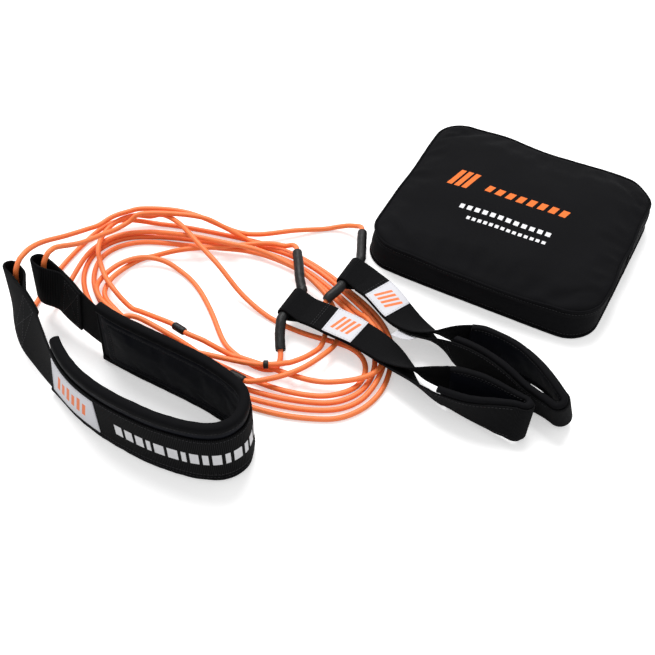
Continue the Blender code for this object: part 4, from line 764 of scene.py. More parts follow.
class StrapForm:
    """A hand strap's band: under its label, round the hose, out on the near layer and back on the far."""

    def __init__(self, hinge, label_start, pad_start, table):
        self.hinge = Vector(hinge)
        rows = [(x, y, z, math.radians(far), math.radians(near), apart)
                for x, y, z, far, near, apart in table]
        joint = label_start + STRAP_LABEL_SIDE / 2
        marks = (label_start, joint, label_start + STRAP_LABEL_SIDE, pad_start)
        self.rows, self.at = rows_at(rows, marks, STRAP_STEP)
        self.count = len(self.at)
        self.pad_row = self.station(pad_start)
        self.label_from = self.station(label_start)
        self.label_to = self.station(label_start + STRAP_LABEL_SIDE)
        cut = round(self.station(joint))
        near, near_across = self.layer(False)
        far, far_across = self.layer(True)
        turn, turn_across = self.far_turn(near, near_across, far, far_across)
        radius = (HOSE_DIAMETER + STRAP_WEBBING_THICKNESS) / 2 + STRAP_TUNNEL_CLEARANCE
        angles = np.linspace(0.39, 1.61, 17) * math.pi
        tunnel = [self.hinge + Vector((math.cos(angle), 0, math.sin(angle))) * radius for angle in angles]
        half = (far[cut + 1] - far[cut]).normalized() * GAP
        head = [far[cut] - half] + far[:cut][::-1]
        tail = far[cut + 1:][::-1] + [far[cut] + half]
        path = head + tunnel + near + turn + tail
        across = far_across[:cut + 1][::-1] + [Vector((0, 1, 0))] * len(tunnel)
        across += near_across + turn_across + far_across[cut:][::-1]
        self.frames = self.uneven(frames_along(path, across))
        self.far_frames = self.uneven(frames_along(far, far_across))
        self.near_from = len(head) + len(tunnel)
        self.far_end = self.near_from + self.count + len(turn)

    def rise(self, place):
        """How far the band stands off its laid line at a place; both layers rise alike."""
        free = eased((place - self.hinge).length, STRAP_HELD_REACH, STRAP_HELD_REACH + 0.030)
        hill = noise.noise(Vector((place.x, place.y, 0)) * 24 + Vector((0, 0, 4.7))) * 0.5 + 0.5
        return hill * STRAP_RISE * free

    def uneven(self, frames):
        """Lets the flat part of the band rise and turn a little."""
        out = []
        for place, side, face in frames:
            up = Vector((0, 0, 1 - abs(side.z)))
            tilt = (self.rise(place + side * 0.012) - self.rise(place - side * 0.012)) / 0.024
            turned = (side + up * tilt).normalized()
            faced = (face - turned * face.dot(turned)).normalized()
            out.append((place + up * self.rise(place), turned, faced))
        return out

    def station(self, length):
        """A length from the strap's start as a position counted in rows."""
        return float(np.interp(length, self.at, np.arange(self.count)))

    def least_apart(self, row, index):
        """How far apart the two layers' middles must be."""
        width, inside = STRAP_WEBBING_WIDTH, STRAP_WEBBING_THICKNESS
        if index >= self.pad_row - 1:
            width = STRAP_PAD_WIDTH
            inside += 2 * (STRAP_PAD_THICKNESS + 2 * TAPE_THICKNESS + 3 * GAP)
        return inside + GAP + width / 2 * abs(math.sin(row[3] - row[4]))

    def layer(self, far):
        """One layer's places and width directions."""
        path, across = [], []
        middles = [Vector(row[:3]) for row in self.rows]
        wanted = [max(row[5], self.least_apart(row, index)) for index, row in enumerate(self.rows)]
        evened = np.convolve(np.pad(wanted, 2, mode="edge"), np.ones(5) / 5, mode="valid")
        apart = np.maximum(wanted, evened)
        for row, middle, along, opening in zip(self.rows, middles, tangents(middles), apart):
            left = Vector((-along.y, along.x, 0)).normalized()
            both = (row[3] + row[4]) / 2
            normal = left * math.sin(both) + Vector((0, 0, 1)) * math.cos(both)
            lean = row[3] if far else row[4]
            path.append(middle + normal * (opening / 2 if far else -opening / 2))
            across.append(left * math.cos(lean) - Vector((0, 0, 1)) * math.sin(lean))
        return path, across

    def far_turn(self, near, near_across, far, far_across):
        """The turn at the far end that joins the near layer to the far one."""
        start, end = near[-1], far[-1]
        middle = (start + end) / 2
        along = (near[-1] - near[-2]).normalized() + (far[-1] - far[-2]).normalized()
        reach = along.normalized() * (start - end).length / 2
        path, across = [], []
        for i in range(1, STRAP_TURN_STEPS):
            angle = math.pi * i / STRAP_TURN_STEPS
            path.append(middle + (start - middle) * math.cos(angle) + reach * math.sin(angle))
            across.append(near_across[-1].lerp(far_across[-1], i / STRAP_TURN_STEPS))
        return path, across

    def rings(self, section, first=0.0, last=None, frames=None):
        """Rings of a section between two positions counted in frames."""
        frames = frames or self.frames
        last = len(frames) - 1.0 if last is None else last
        return rings_between(frames, first, last, section)


def flat_band(width, thickness, across=0.0, through=0.0, steps=12, swell=0.0):
    """A band's section with round long edges and a slight swell, as pairs of across and through."""
    radius = thickness / 2
    half = width / 2 - radius
    flats = np.linspace(-half, half, steps)
    rise = [swell * (1 - (a / (width / 2)) ** 2) for a in flats]
    out = [(a, -radius - r) for a, r in zip(flats, rise)]
    out += [(half + radius * math.sin(t), -radius * math.cos(t)) for t in (0.8, math.pi / 2, 2.34)]
    out += [(a, radius + r) for a, r in zip(flats[::-1], rise[::-1])]
    out += [(-half - radius * math.sin(t), radius * math.cos(t)) for t in (0.8, math.pi / 2, 2.34)]
    return [(across + a, through + b) for a, b in out]


def bound_edge(inner, leg, wall, edge, side, through, puff=0.0):
    """A bound edge's section: a soft skin from one face round the edge to the other, and back inside."""
    half = inner / 2
    angles = np.linspace(-math.pi / 2, math.pi / 2, 9)
    skin = [(-leg, -half - wall * 0.5), (-leg * 0.93, -half - wall)]
    skin += [(-leg * 0.55, -half - wall - puff)]
    reach = half + wall + puff
    skin += [(reach * math.cos(t) ** 0.65 - half, math.copysign(reach * abs(math.sin(t)) ** 0.8, t))
             for t in angles]
    skin += [(-leg * 0.55, half + wall + puff), (-leg * 0.93, half + wall), (-leg, half + wall * 0.5)]
    lining = [(-leg * 0.97, half)] + [(half * math.cos(t) - half, half * math.sin(t)) for t in angles[::-1]]
    lining += [(-leg * 0.97, -half)]
    return [(side * (edge + a), through + b) for a, b in skin + lining]


def finished(work, name):
    """A smooth mesh of worked geometry."""
    mesh = bpy.data.meshes.new(name)
    work.to_mesh(mesh)
    work.free()
    mesh.shade_smooth()
    return mesh


def skin_mesh(name, rings, closed=False, across=None):
    """A closed skin through rings of points, mapped in metres along and across."""
    grid = np.array([[tuple(point) for point in ring] for ring in rings])
    count, sides = grid.shape[:2]
    middles = grid.mean(axis=1)
    steps = np.linalg.norm(np.diff(middles, axis=0), axis=1)
    along = np.concatenate([[0], np.cumsum(steps)])
    if closed:
        along = np.append(along, along[-1] + np.linalg.norm(middles[0] - middles[-1]))
    if across is None:
        sides_long = np.linalg.norm(np.roll(grid, -1, axis=1) - grid, axis=2).mean(axis=0)
        across = np.concatenate([[0], np.cumsum(sides_long)])
    else:
        across = list(across) + [across[0]]
    work = bmesh.new()
    layer = work.loops.layers.uv.new("run")
    rows = [[work.verts.new(point) for point in ring] for ring in grid]
    for k in range(count if closed else count - 1):
        low, high = rows[k], rows[(k + 1) % count]
        for i in range(sides):
            j = (i + 1) % sides
            face = work.faces.new((low[i], low[j], high[j], high[i]))
            places = ((along[k], across[i]), (along[k], across[i + 1]),
                      (along[k + 1], across[i + 1]), (along[k + 1], across[i]))
            for loop, place in zip(face.loops, places):
                loop[layer].uv = place
    if not closed:
        for row, u in ((rows[0][::-1], along[0]), (rows[-1], along[-1])):
            face = work.faces.new(row)
            for loop in face.loops:
                loop[layer].uv = (u, 0)
        bmesh.ops.triangulate(work, faces=[face for face in work.faces if len(face.verts) > 4])
    bmesh.ops.recalc_face_normals(work, faces=work.faces)
    if work.calc_volume(signed=True) < 0:
        bmesh.ops.reverse_faces(work, faces=work.faces)
    return finished(work, name)


def linked(name, data):
    """A new object in the scene."""
    piece = bpy.data.objects.new(name, data)
    bpy.context.scene.collection.objects.link(piece)
    return piece


def placed(name, mesh, look, body="root", nodes=(), sharp=50):
    """Puts a finished mesh in the scene on its body, in place of its CAD nodes."""
    piece = linked(name, mesh)
    if look is not None:
        mesh.materials.clear()
        mesh.materials.append(look)
    mesh.set_sharp_from_angle(angle=math.radians(sharp))
    if nodes:
        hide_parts(*nodes)
    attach(piece, body)
    return piece


def joined(name, meshes):
    """Several meshes as one."""
    work = bmesh.new()
    for mesh in meshes:
        work.from_mesh(mesh)
        bpy.data.meshes.remove(mesh)
    return finished(work, name)


def round_ring(diameter, sides):
    """A circle as pairs of across and through."""
    angles = [math.tau * i / sides for i in range(sides)]
    return [(diameter / 2 * math.cos(angle), diameter / 2 * math.sin(angle)) for angle in angles]


def swollen(mesh, held, pressure, grow, cap, stiffness=8.0):
    """Swells a mesh as cloth with some of its points held, and moves its points to the result."""
    steps = bpy.context.scene.trainer_sizes.swell_frames
    if steps < 2:
        return
    piece = linked("swelling", mesh)
    group = piece.vertex_groups.new(name="held")
    group.add([int(i) for i in held], 1.0, "REPLACE")
    modifier = piece.modifiers.new("swell", "CLOTH")
    cloth = modifier.settings
    cloth.vertex_group_mass = "held"
    cloth.quality = 5
    cloth.mass = 0.2
    cloth.tension_stiffness = cloth.compression_stiffness = stiffness
    cloth.shear_stiffness = stiffness / 2
    cloth.bending_stiffness = 0.6
    cloth.shrink_min = -grow
    cloth.use_pressure = True
    cloth.uniform_pressure_force = pressure
    cloth.effector_weights.gravity = 0
    modifier.collision_settings.use_collision = False
    modifier.point_cache.frame_start = 1
    modifier.point_cache.frame_end = steps
    scene = bpy.context.scene
    for number in range(1, steps + 1):
        scene.frame_set(number)
    result = piece.evaluated_get(bpy.context.evaluated_depsgraph_get()).to_mesh()
    count = len(mesh.vertices)
    moved = np.empty(count * 3)
    result.vertices.foreach_get("co", moved)
    start = np.empty(count * 3)
    mesh.vertices.foreach_get("co", start)
    moved, start = moved.reshape(-1, 3), start.reshape(-1, 3)
    step = moved - start
    far = np.linalg.norm(step, axis=1, keepdims=True)
    step = step * np.minimum(1, cap / np.maximum(far, 1e-9))
    mesh.vertices.foreach_set("co", (start + step).ravel())
    piece.modifiers.remove(modifier)
    bpy.data.objects.remove(piece)
    scene.frame_set(1)
    mesh.update()


def swollen_columns(mesh, rings, free, cap):
    """Swells the free columns of a skin between its held ones; both ends stay sewn down."""
    sides = len(rings[0])
    last = len(rings) - SEWN_END_RINGS
    held = [k * sides + j for k in range(len(rings)) for j in range(sides)
            if k < SEWN_END_RINGS or k >= last or j not in free]
    swollen(mesh, held, PAD_PRESSURE, PAD_GROWTH, cap)


def free_columns(section, middle, through, half, row):
    """The columns of a pad's open face that lie between its edges and its two sewn rows."""
    open_face = [j for j, (_, b) in enumerate(section) if b * through > through * through]
    free = {j for j in open_face if half - abs(section[j][0] - middle) > 0.0015}
    for side in (-1, 1):
        target = middle + side * (half - row)
        free.discard(min(open_face, key=lambda j: abs(section[j][0] - target)))
    return free


def repeat_tree(name, shape):
    """A node tree that sets a small shape out along curves, at a pitch."""
    tree = bpy.data.node_groups.new(name, "GeometryNodeTree")
    face = tree.interface
    face.new_socket("Geometry", in_out="INPUT", socket_type="NodeSocketGeometry")
    for title in ("Pitch", "Length", "Width", "Height"):
        face.new_socket(title, in_out="INPUT", socket_type="NodeSocketFloat")
    face.new_socket("Material", in_out="INPUT", socket_type="NodeSocketMaterial")
    face.new_socket("Geometry", in_out="OUTPUT", socket_type="NodeSocketGeometry")
    nodes, links = tree.nodes, tree.links
    start, end = nodes.new("NodeGroupInput"), nodes.new("NodeGroupOutput")
    points = nodes.new("GeometryNodeCurveToPoints")
    points.mode = "LENGTH"
    links.new(start.outputs["Geometry"], points.inputs["Curve"])
    links.new(start.outputs["Pitch"], points.inputs["Length"])
    if shape == "stitch":
        unit = nodes.new("GeometryNodeMeshUVSphere")
        unit.inputs["Segments"].default_value = 6
        unit.inputs["Rings"].default_value = 4
        unit.inputs["Radius"].default_value = 0.5
    else:
        unit = nodes.new("GeometryNodeMeshCube")
    scale = nodes.new("ShaderNodeCombineXYZ")
    for index, title in enumerate(("Width", "Height", "Length")):
        links.new(start.outputs[title], scale.inputs[index])
    spread = nodes.new("GeometryNodeInstanceOnPoints")
    links.new(points.outputs["Points"], spread.inputs["Points"])
    links.new(unit.outputs["Mesh"], spread.inputs["Instance"])
    links.new(points.outputs["Rotation"], spread.inputs["Rotation"])
    links.new(scale.outputs[0], spread.inputs["Scale"])
    real = nodes.new("GeometryNodeRealizeInstances")
    paint = nodes.new("GeometryNodeSetMaterial")
    links.new(spread.outputs[0], real.inputs[0])
    links.new(real.outputs[0], paint.inputs["Geometry"])
    links.new(start.outputs["Material"], paint.inputs["Material"])
    links.new(paint.outputs[0], end.inputs[0])
    return tree


def set_out(name, paths, shape, pitch, length, width, height, look, body, nodes=()):
    """Stitches or teeth along paths, as one plain mesh on its body."""
    data = bpy.data.curves.new(name + "_path", "CURVE")
    data.dimensions = "3D"
    for path in paths:
        spline = data.splines.new("POLY")
        spline.points.add(len(path) - 1)
        for slot, point in zip(spline.points, path):
            slot.co = (*point, 1.0)
    guide = linked(name + "_path", data)
    title = "Set out " + shape
    tree = bpy.data.node_groups.get(title) or repeat_tree(title, shape)
    modifier = guide.modifiers.new("set out", "NODES")
    modifier.node_group = tree
    values = {"Pitch": pitch, "Length": length, "Width": width, "Height": height, "Material": look}
    for item in tree.interface.items_tree:
        if item.in_out == "INPUT" and item.name in values:
            modifier[item.identifier] = values[item.name]
    ready = guide.evaluated_get(bpy.context.evaluated_depsgraph_get())
    mesh = bpy.data.meshes.new_from_object(ready)
    guide.modifiers.remove(modifier)
    bpy.data.objects.remove(guide)
    mesh.name = name
    mesh.shade_smooth()
    return placed(name, mesh, look, body, nodes, sharp=60)


def looks():
    """The finishes, made once and shared by the pieces."""
    colours = bpy.context.scene.trainer_colours
    sizes = bpy.context.scene.trainer_sizes
    made = bpy.data.materials

    def once(name, make, *given):
        name = "finish_" + name
        return made.get(name) or make(name, *given)

    webbing, pouch, label, mark = (tuple(colour) for colour in
                                   (colours.webbing, colours.pouch, colours.label, colours.mark))
    belt_bars = [(0.012 + 0.0085 * i, 0.0168 + 0.0085 * i, -0.013, 0.013 - 0.004 * (i % 2), 0.25)
                 for i in range(6)]
    strap_bars = [(0.0085 + 0.0062 * i, 0.0120 + 0.0062 * i, -0.0105, 0.0105, 0.28) for i in range(4)]
    return {
        "webbing": once("ribbed_webbing", webbing_look, webbing, sizes.rib_pitch, 0.0012),
        "strap": once("fine_webbing", webbing_look, webbing, 0.0011, 0.0009),
        "padding": once("smooth_padding", padding_look, tuple(colours.padding)),
        "binding": once("binding_tape", binding_look, tuple(colours.binding)),
        "pouch": once("woven_nylon", pouch_look, pouch),
        "top": once("printed_nylon", pouch_look, pouch, POUCH_PRINT),
        "belt_label": once("belt_label", label_look, label, mark, belt_bars),
        "strap_label": once("strap_label", label_look, label, mark, strap_bars),
        "care_label": once("care_label", label_look, shade(label, 0.9), mark, []),
        "print": once("pale_print", label_look, (0.72, 0.72, 0.74), mark, []),
        "cord": once("braided_cord", cord_look, tuple(colours.cord)),
        "hose": once("satin_hose", hose_look, tuple(colours.hose)),
        "metal": once("painted_metal", metal_look),
        "teeth": once("moulded_teeth", thread_look, (0.030, 0.030, 0.032)),
        "thread": once("black_thread", thread_look, (0.022, 0.022, 0.025)),
        "pale_thread": once("pale_thread", thread_look, (0.55, 0.55, 0.57)),
    }


def eased(value, low, high):
    """Nought below low, one above high, and smooth between."""
    t = min(1.0, max(0.0, (value - low) / (high - low)))
    return t * t * (3 - 2 * t)


def wrinkle(place, length, amount):
    """A rumple of a given length and height."""
    return noise.noise(place / length) * amount


def rumpled(mesh, *waves):
    """Rumples a mesh along its normals; each wave is a length and a height."""
    for vertex in mesh.vertices:
        vertex.co += vertex.normal * sum(wrinkle(vertex.co, *wave) for wave in waves)


def sewn_line(name, lines, look, body, scale=1.0):
    """Rows of stitches along lines that lie on a surface."""
    sizes = bpy.context.scene.trainer_sizes
    paths = [[tuple(point) for point in line] for line in lines]
    return set_out(name, paths, "stitch", sizes.stitch_pitch * scale, sizes.stitch_length * scale,
                   sizes.stitch_width, sizes.stitch_width, look, body)


def tip_line(form, at_tip_a):
    """One tip's fold from its cut end to the main run, as lengths from the outer tip and offsets."""
    back = -(BELT_WEBBING_THICKNESS + GAP)
    full = back - BELT_TUNNEL_OPENING
    radius = -full / 2
    sewn = BELT_TUNNEL_LENGTH + BELT_SEWN_LENGTH
    out = [(s, back) for s in np.linspace(sewn, BELT_TUNNEL_LENGTH + 0.002, 9)]
    for share in np.linspace(1, 0.38, 12):
        bulge = eased(1 - share, 0.0, 0.62)
        out.append((BELT_TUNNEL_LENGTH * share, back + (full - back) * bulge))
    for step in range(16):
        angle = math.pi * step / 16
        out.append((radius - radius * math.sin(angle), -radius - radius * math.cos(angle)))
    return out if at_tip_a else [(form.length - s, offset) for s, offset in reversed(out)]


def belt_band_rings(form, section):
    """Rings of a section along the belt's webbing and round both folds."""
    start = (BELT_TUNNEL_OPENING + BELT_WEBBING_THICKNESS + GAP) / 2
    main = [(s, 0.0) for s in form.at if start + 0.002 < s < form.length - start - 0.002]
    line = tip_line(form, True) + [(start, 0.0)] + main + [(form.length - start, 0.0)] + tip_line(form, False)
    flat = [Vector(point) for point in line]
    rings = []
    for point, along in zip(flat, tangents(flat)):
        places = [(a, point.y + along.x * b, point.x - along.y * b) for a, b in section]
        rings.append([ring_at(form.frames, form.position(s), [(a, out)])[0] for a, out, s in places])
    return rings


def pad_section(width, thickness, across, through, puff, steps=18, row=0.010):
    """A quilted pad's section: puffed between its sewn rows, thin at its long edges."""
    half = width / 2
    places = [half * math.sin(math.pi / 2 * t) for t in np.linspace(-1, 1, steps)]
    out = []
    for side in (-1, 1):
        for a in places if side < 0 else places[::-1]:
            inward = half - abs(a)
            lift = eased(inward, 0.0, 0.0045)
            dip = math.exp(-((inward - row) / 0.0016) ** 2) if row else 0.0
            body = thickness / 2 * (0.55 + 0.45 * lift) + puff * lift * (1 - 0.9 * dip) - 0.0006 * dip
            out.append((across + a, through + side * body))
    return out


def cross_stitch(form, low_s, high_s, low, high, out):
    """A box of stitches with a cross in it."""
    corners = [(low_s, low), (high_s, low), (high_s, high), (low_s, high), (low_s, low)]
    runs = list(zip(corners, corners[1:])) + [((low_s, low), (high_s, high)), ((low_s, high), (high_s, low))]
    lines = []
    for (s0, a0), (s1, a1) in runs:
        count = 10
        line = []
        for i in range(count + 1):
            t = i / count
            s, a = s0 + (s1 - s0) * t, a0 + (a1 - a0) * t
            line.append(ring_at(form.frames, form.position(s), [(a, out)])[0])
        lines.append(line)
    return lines


def belt_pieces(look):
    """The waist belt: folded webbing, quilted pad, lining, bindings, label, print and stitches."""
    form = BeltForm()
    half = BELT_WEBBING_THICKNESS / 2
    section = flat_band(BELT_WEBBING_WIDTH, BELT_WEBBING_THICKNESS, steps=14)
    mesh = skin_mesh("belt_band", belt_band_rings(form, section))
    placed("belt_band", mesh, look["webbing"], nodes=["belt_webbing"])

    start, end = BELT_PAD_FROM_TIP_A, form.length - BELT_PAD_FROM_TIP_B
    height = BELT_PAD_HEIGHT - 2 * (TAPE_THICKNESS + GAP)
    up = BELT_PAD_HEIGHT / 2 - BELT_WEBBING_LOW - BELT_WEBBING_WIDTH / 2
    middle = -(BELT_WEBBING_THICKNESS + BELT_PAD_THICKNESS) / 2 - GAP

    # The pad's core, whose outer face shows above and below the webbing
    core = []
    for a in np.linspace(-height / 2, height / 2, 30):
        inward = height / 2 - abs(a)
        beside = abs(up + a) - BELT_WEBBING_WIDTH / 2
        puff = 0.0013 * eased(beside, 0.0005, 0.004) * eased(inward, 0.0, 0.004)
        core.append((up + a, middle + BELT_PAD_THICKNESS / 2 - 0.0002 + puff))
    inner = []
    for a in np.linspace(height / 2, -height / 2, 30):
        inward = height / 2 - abs(a)
        inner.append((up + a, middle - BELT_PAD_THICKNESS / 2 + 0.0006 * (1 - eased(inward, 0.0, 0.006))))

    mesh = skin_mesh("belt_padding", form.rings(core + inner, start, end))
    rumpled(mesh, (0.03, 0.0003))
    piece = placed("belt_padding", mesh, look["padding"], nodes=["belt_pad"])

    # The lining, puffed inside its sewn border
    lining_height = height - 2 * BELT_TAPE_LEG + 0.003
    face = middle - BELT_PAD_THICKNESS / 2 - 0.0003
    inset = BELT_TAPE_LEG - 0.001
    border = LINING_BORDER
    length = end - start - 2 * inset
    rings = []
    places = np.linspace(0, 1, int(length / 0.0042))
    for share in places:
        s = start + inset + length * share
        from_end = min(share, 1 - share) * length
        outer_face, inner_face = [], []
        for a in np.linspace(-lining_height / 2, lining_height / 2, 34):
            inward = min(lining_height / 2 - abs(a), from_end)
            dip = math.exp(-((inward - border) / 0.0013) ** 2)
            puff = 0.0006 + 0.0012 * eased(inward, 0.0, 0.003) - 0.0010 * dip
            inner_face.append((up + a, face - puff))
            outer_face.append((up + a, face))
        rings.append(ring_at(form.frames, form.position(s), inner_face + outer_face[::-1]))
    mesh = skin_mesh("belt_inner_lining", rings)
    section = inner_face + outer_face[::-1]
    free = free_columns(section, up, face, lining_height / 2, border)
    swollen_columns(mesh, rings, free, BELT_PAD_SWELL)
    rumpled(mesh, (0.022, 0.0006), (0.009, 0.0002))
    piece = placed("belt_inner_lining", mesh, look["padding"], nodes=["belt_pad_lining"])
    deep = face - 0.0012
    ends = (start + inset + border, end - inset - border)
    rim = [form.line(*ends, up + side * (lining_height / 2 - border), deep) for side in (-1, 1)]
    low, high = up - lining_height / 2 + border, up + lining_height / 2 - border
    rim += [form.cross_line(s, low, high, deep) for s in ends]
    sewn_line("belt_lining_stitches", rim, look["thread"], "root")

    # The bindings rolled over both long edges
    for name, node, side in (("belt_binding_top", "belt_edge_tape_top", 1),
                             ("belt_binding_bottom", "belt_edge_tape_bottom", -1)):
        edge = height / 2 + GAP + side * up
        inner_width = BELT_PAD_THICKNESS + 2 * GAP
        section = bound_edge(inner_width, BELT_TAPE_LEG, TAPE_THICKNESS, edge - 0.0005, side, middle, 0.0005)
        rings = form.rings(section, start - 0.0005, end + 0.0005)
        mesh = skin_mesh(name, rings)
        rumpled(mesh, (0.012, 0.0004), (0.005, 0.0002))
        placed(name, mesh, look["binding"], nodes=[node])
        out = inner_width / 2 + TAPE_THICKNESS + 0.0002
        line = edge - 0.0005 - BELT_TAPE_LEG * 0.75
        rows = [form.line(start + 0.002, end - 0.002, side * line, middle + face * out) for face in (-1, 1)]
        sewn_line(name + "_stitches", rows, look["thread"], "root")

    # The ends of the pad, closed by a short turned hem
    for name, s in (("belt_pad_end_outer", start), ("belt_pad_end_inner", end)):
        rings = []
        for a in np.linspace(-height / 2 + 0.002, height / 2 - 0.002, 24):
            ring = []
            for angle in np.linspace(0, math.tau, 14, endpoint=False):
                reach = 0.0035 * math.cos(angle) * (1 if name.endswith("inner") else -1)
                through = middle + (BELT_PAD_THICKNESS / 2 + 0.0007) * math.sin(angle)
                ring.append(ring_at(form.frames, form.position(s + reach), [(up + a, through)])[0])
            rings.append(ring)
        mesh = skin_mesh(name, rings)
        placed(name, mesh, look["binding"])

    # The label and its sewn border
    label = (BELT_LABEL_FROM_TIP, BELT_LABEL_FROM_TIP + BELT_LABEL_LENGTH)
    out = half + LABEL_THICKNESS / 2 + GAP
    section = flat_band(BELT_LABEL_HEIGHT, LABEL_THICKNESS, through=out, steps=10)
    across = [a for a, _ in section]
    mesh = skin_mesh("belt_name_label", form.rings(section, *label), across=across)
    placed("belt_name_label", mesh, look["belt_label"], nodes=["belt_label"])
    top = out + LABEL_THICKNESS / 2 + 0.0001
    edge = BELT_LABEL_HEIGHT / 2 - 0.002
    rows = [form.line(label[0] + 0.002, label[1] - 0.002, side * edge, top) for side in (-1, 1)]
    rows += [form.cross_line(s, -edge, edge, top) for s in (label[0] + 0.002, label[1] - 0.002)]
    sewn_line("belt_label_stitches", rows, look["pale_thread"], "root")

    # Plain printed bars along the front of the webbing
    bars = []
    place = BELT_PRINT_START
    for width in (thousandths / 1000 for thousandths in BELT_PRINT_WIDTHS):
        low, high = BELT_PRINT_LOW, BELT_PRINT_HIGH
        under, over = half + 0.00002, half + 0.00018
        section = [(low, under), (high, under), (high, over), (low, over)]
        rings = form.rings(section, place, place + width)
        bars.append(skin_mesh("bar", rings))
        place += width + 0.0036
    placed("belt_print", joined("belt_print", bars), look["print"])

    # Sewing that holds the webbing and closes the two tunnels
    face = half + 0.0001
    rows = []
    for side in (-1, 1):
        a = side * (BELT_WEBBING_WIDTH / 2 - 0.003)
        rows.append(form.line(start + 0.004, end - 0.004, a, face))
    for s in (start + 0.004, end - 0.004):
        rows.append(form.cross_line(s, -BELT_WEBBING_WIDTH / 2 + 0.003, BELT_WEBBING_WIDTH / 2 - 0.003, face))
    near, far = BELT_TUNNEL_LENGTH + 0.005, BELT_TUNNEL_LENGTH + BELT_SEWN_LENGTH - 0.004
    edge = BELT_WEBBING_WIDTH / 2 - 0.005
    for low_s, high_s in ((near, far), (form.length - far, form.length - near)):
        rows += cross_stitch(form, low_s, high_s, -edge, edge, face)
        rows += cross_stitch(form, low_s, high_s, -edge, edge, -half * 3 - GAP - 0.0001)
    sewn_line("belt_stitches", rows, look["thread"], "root")


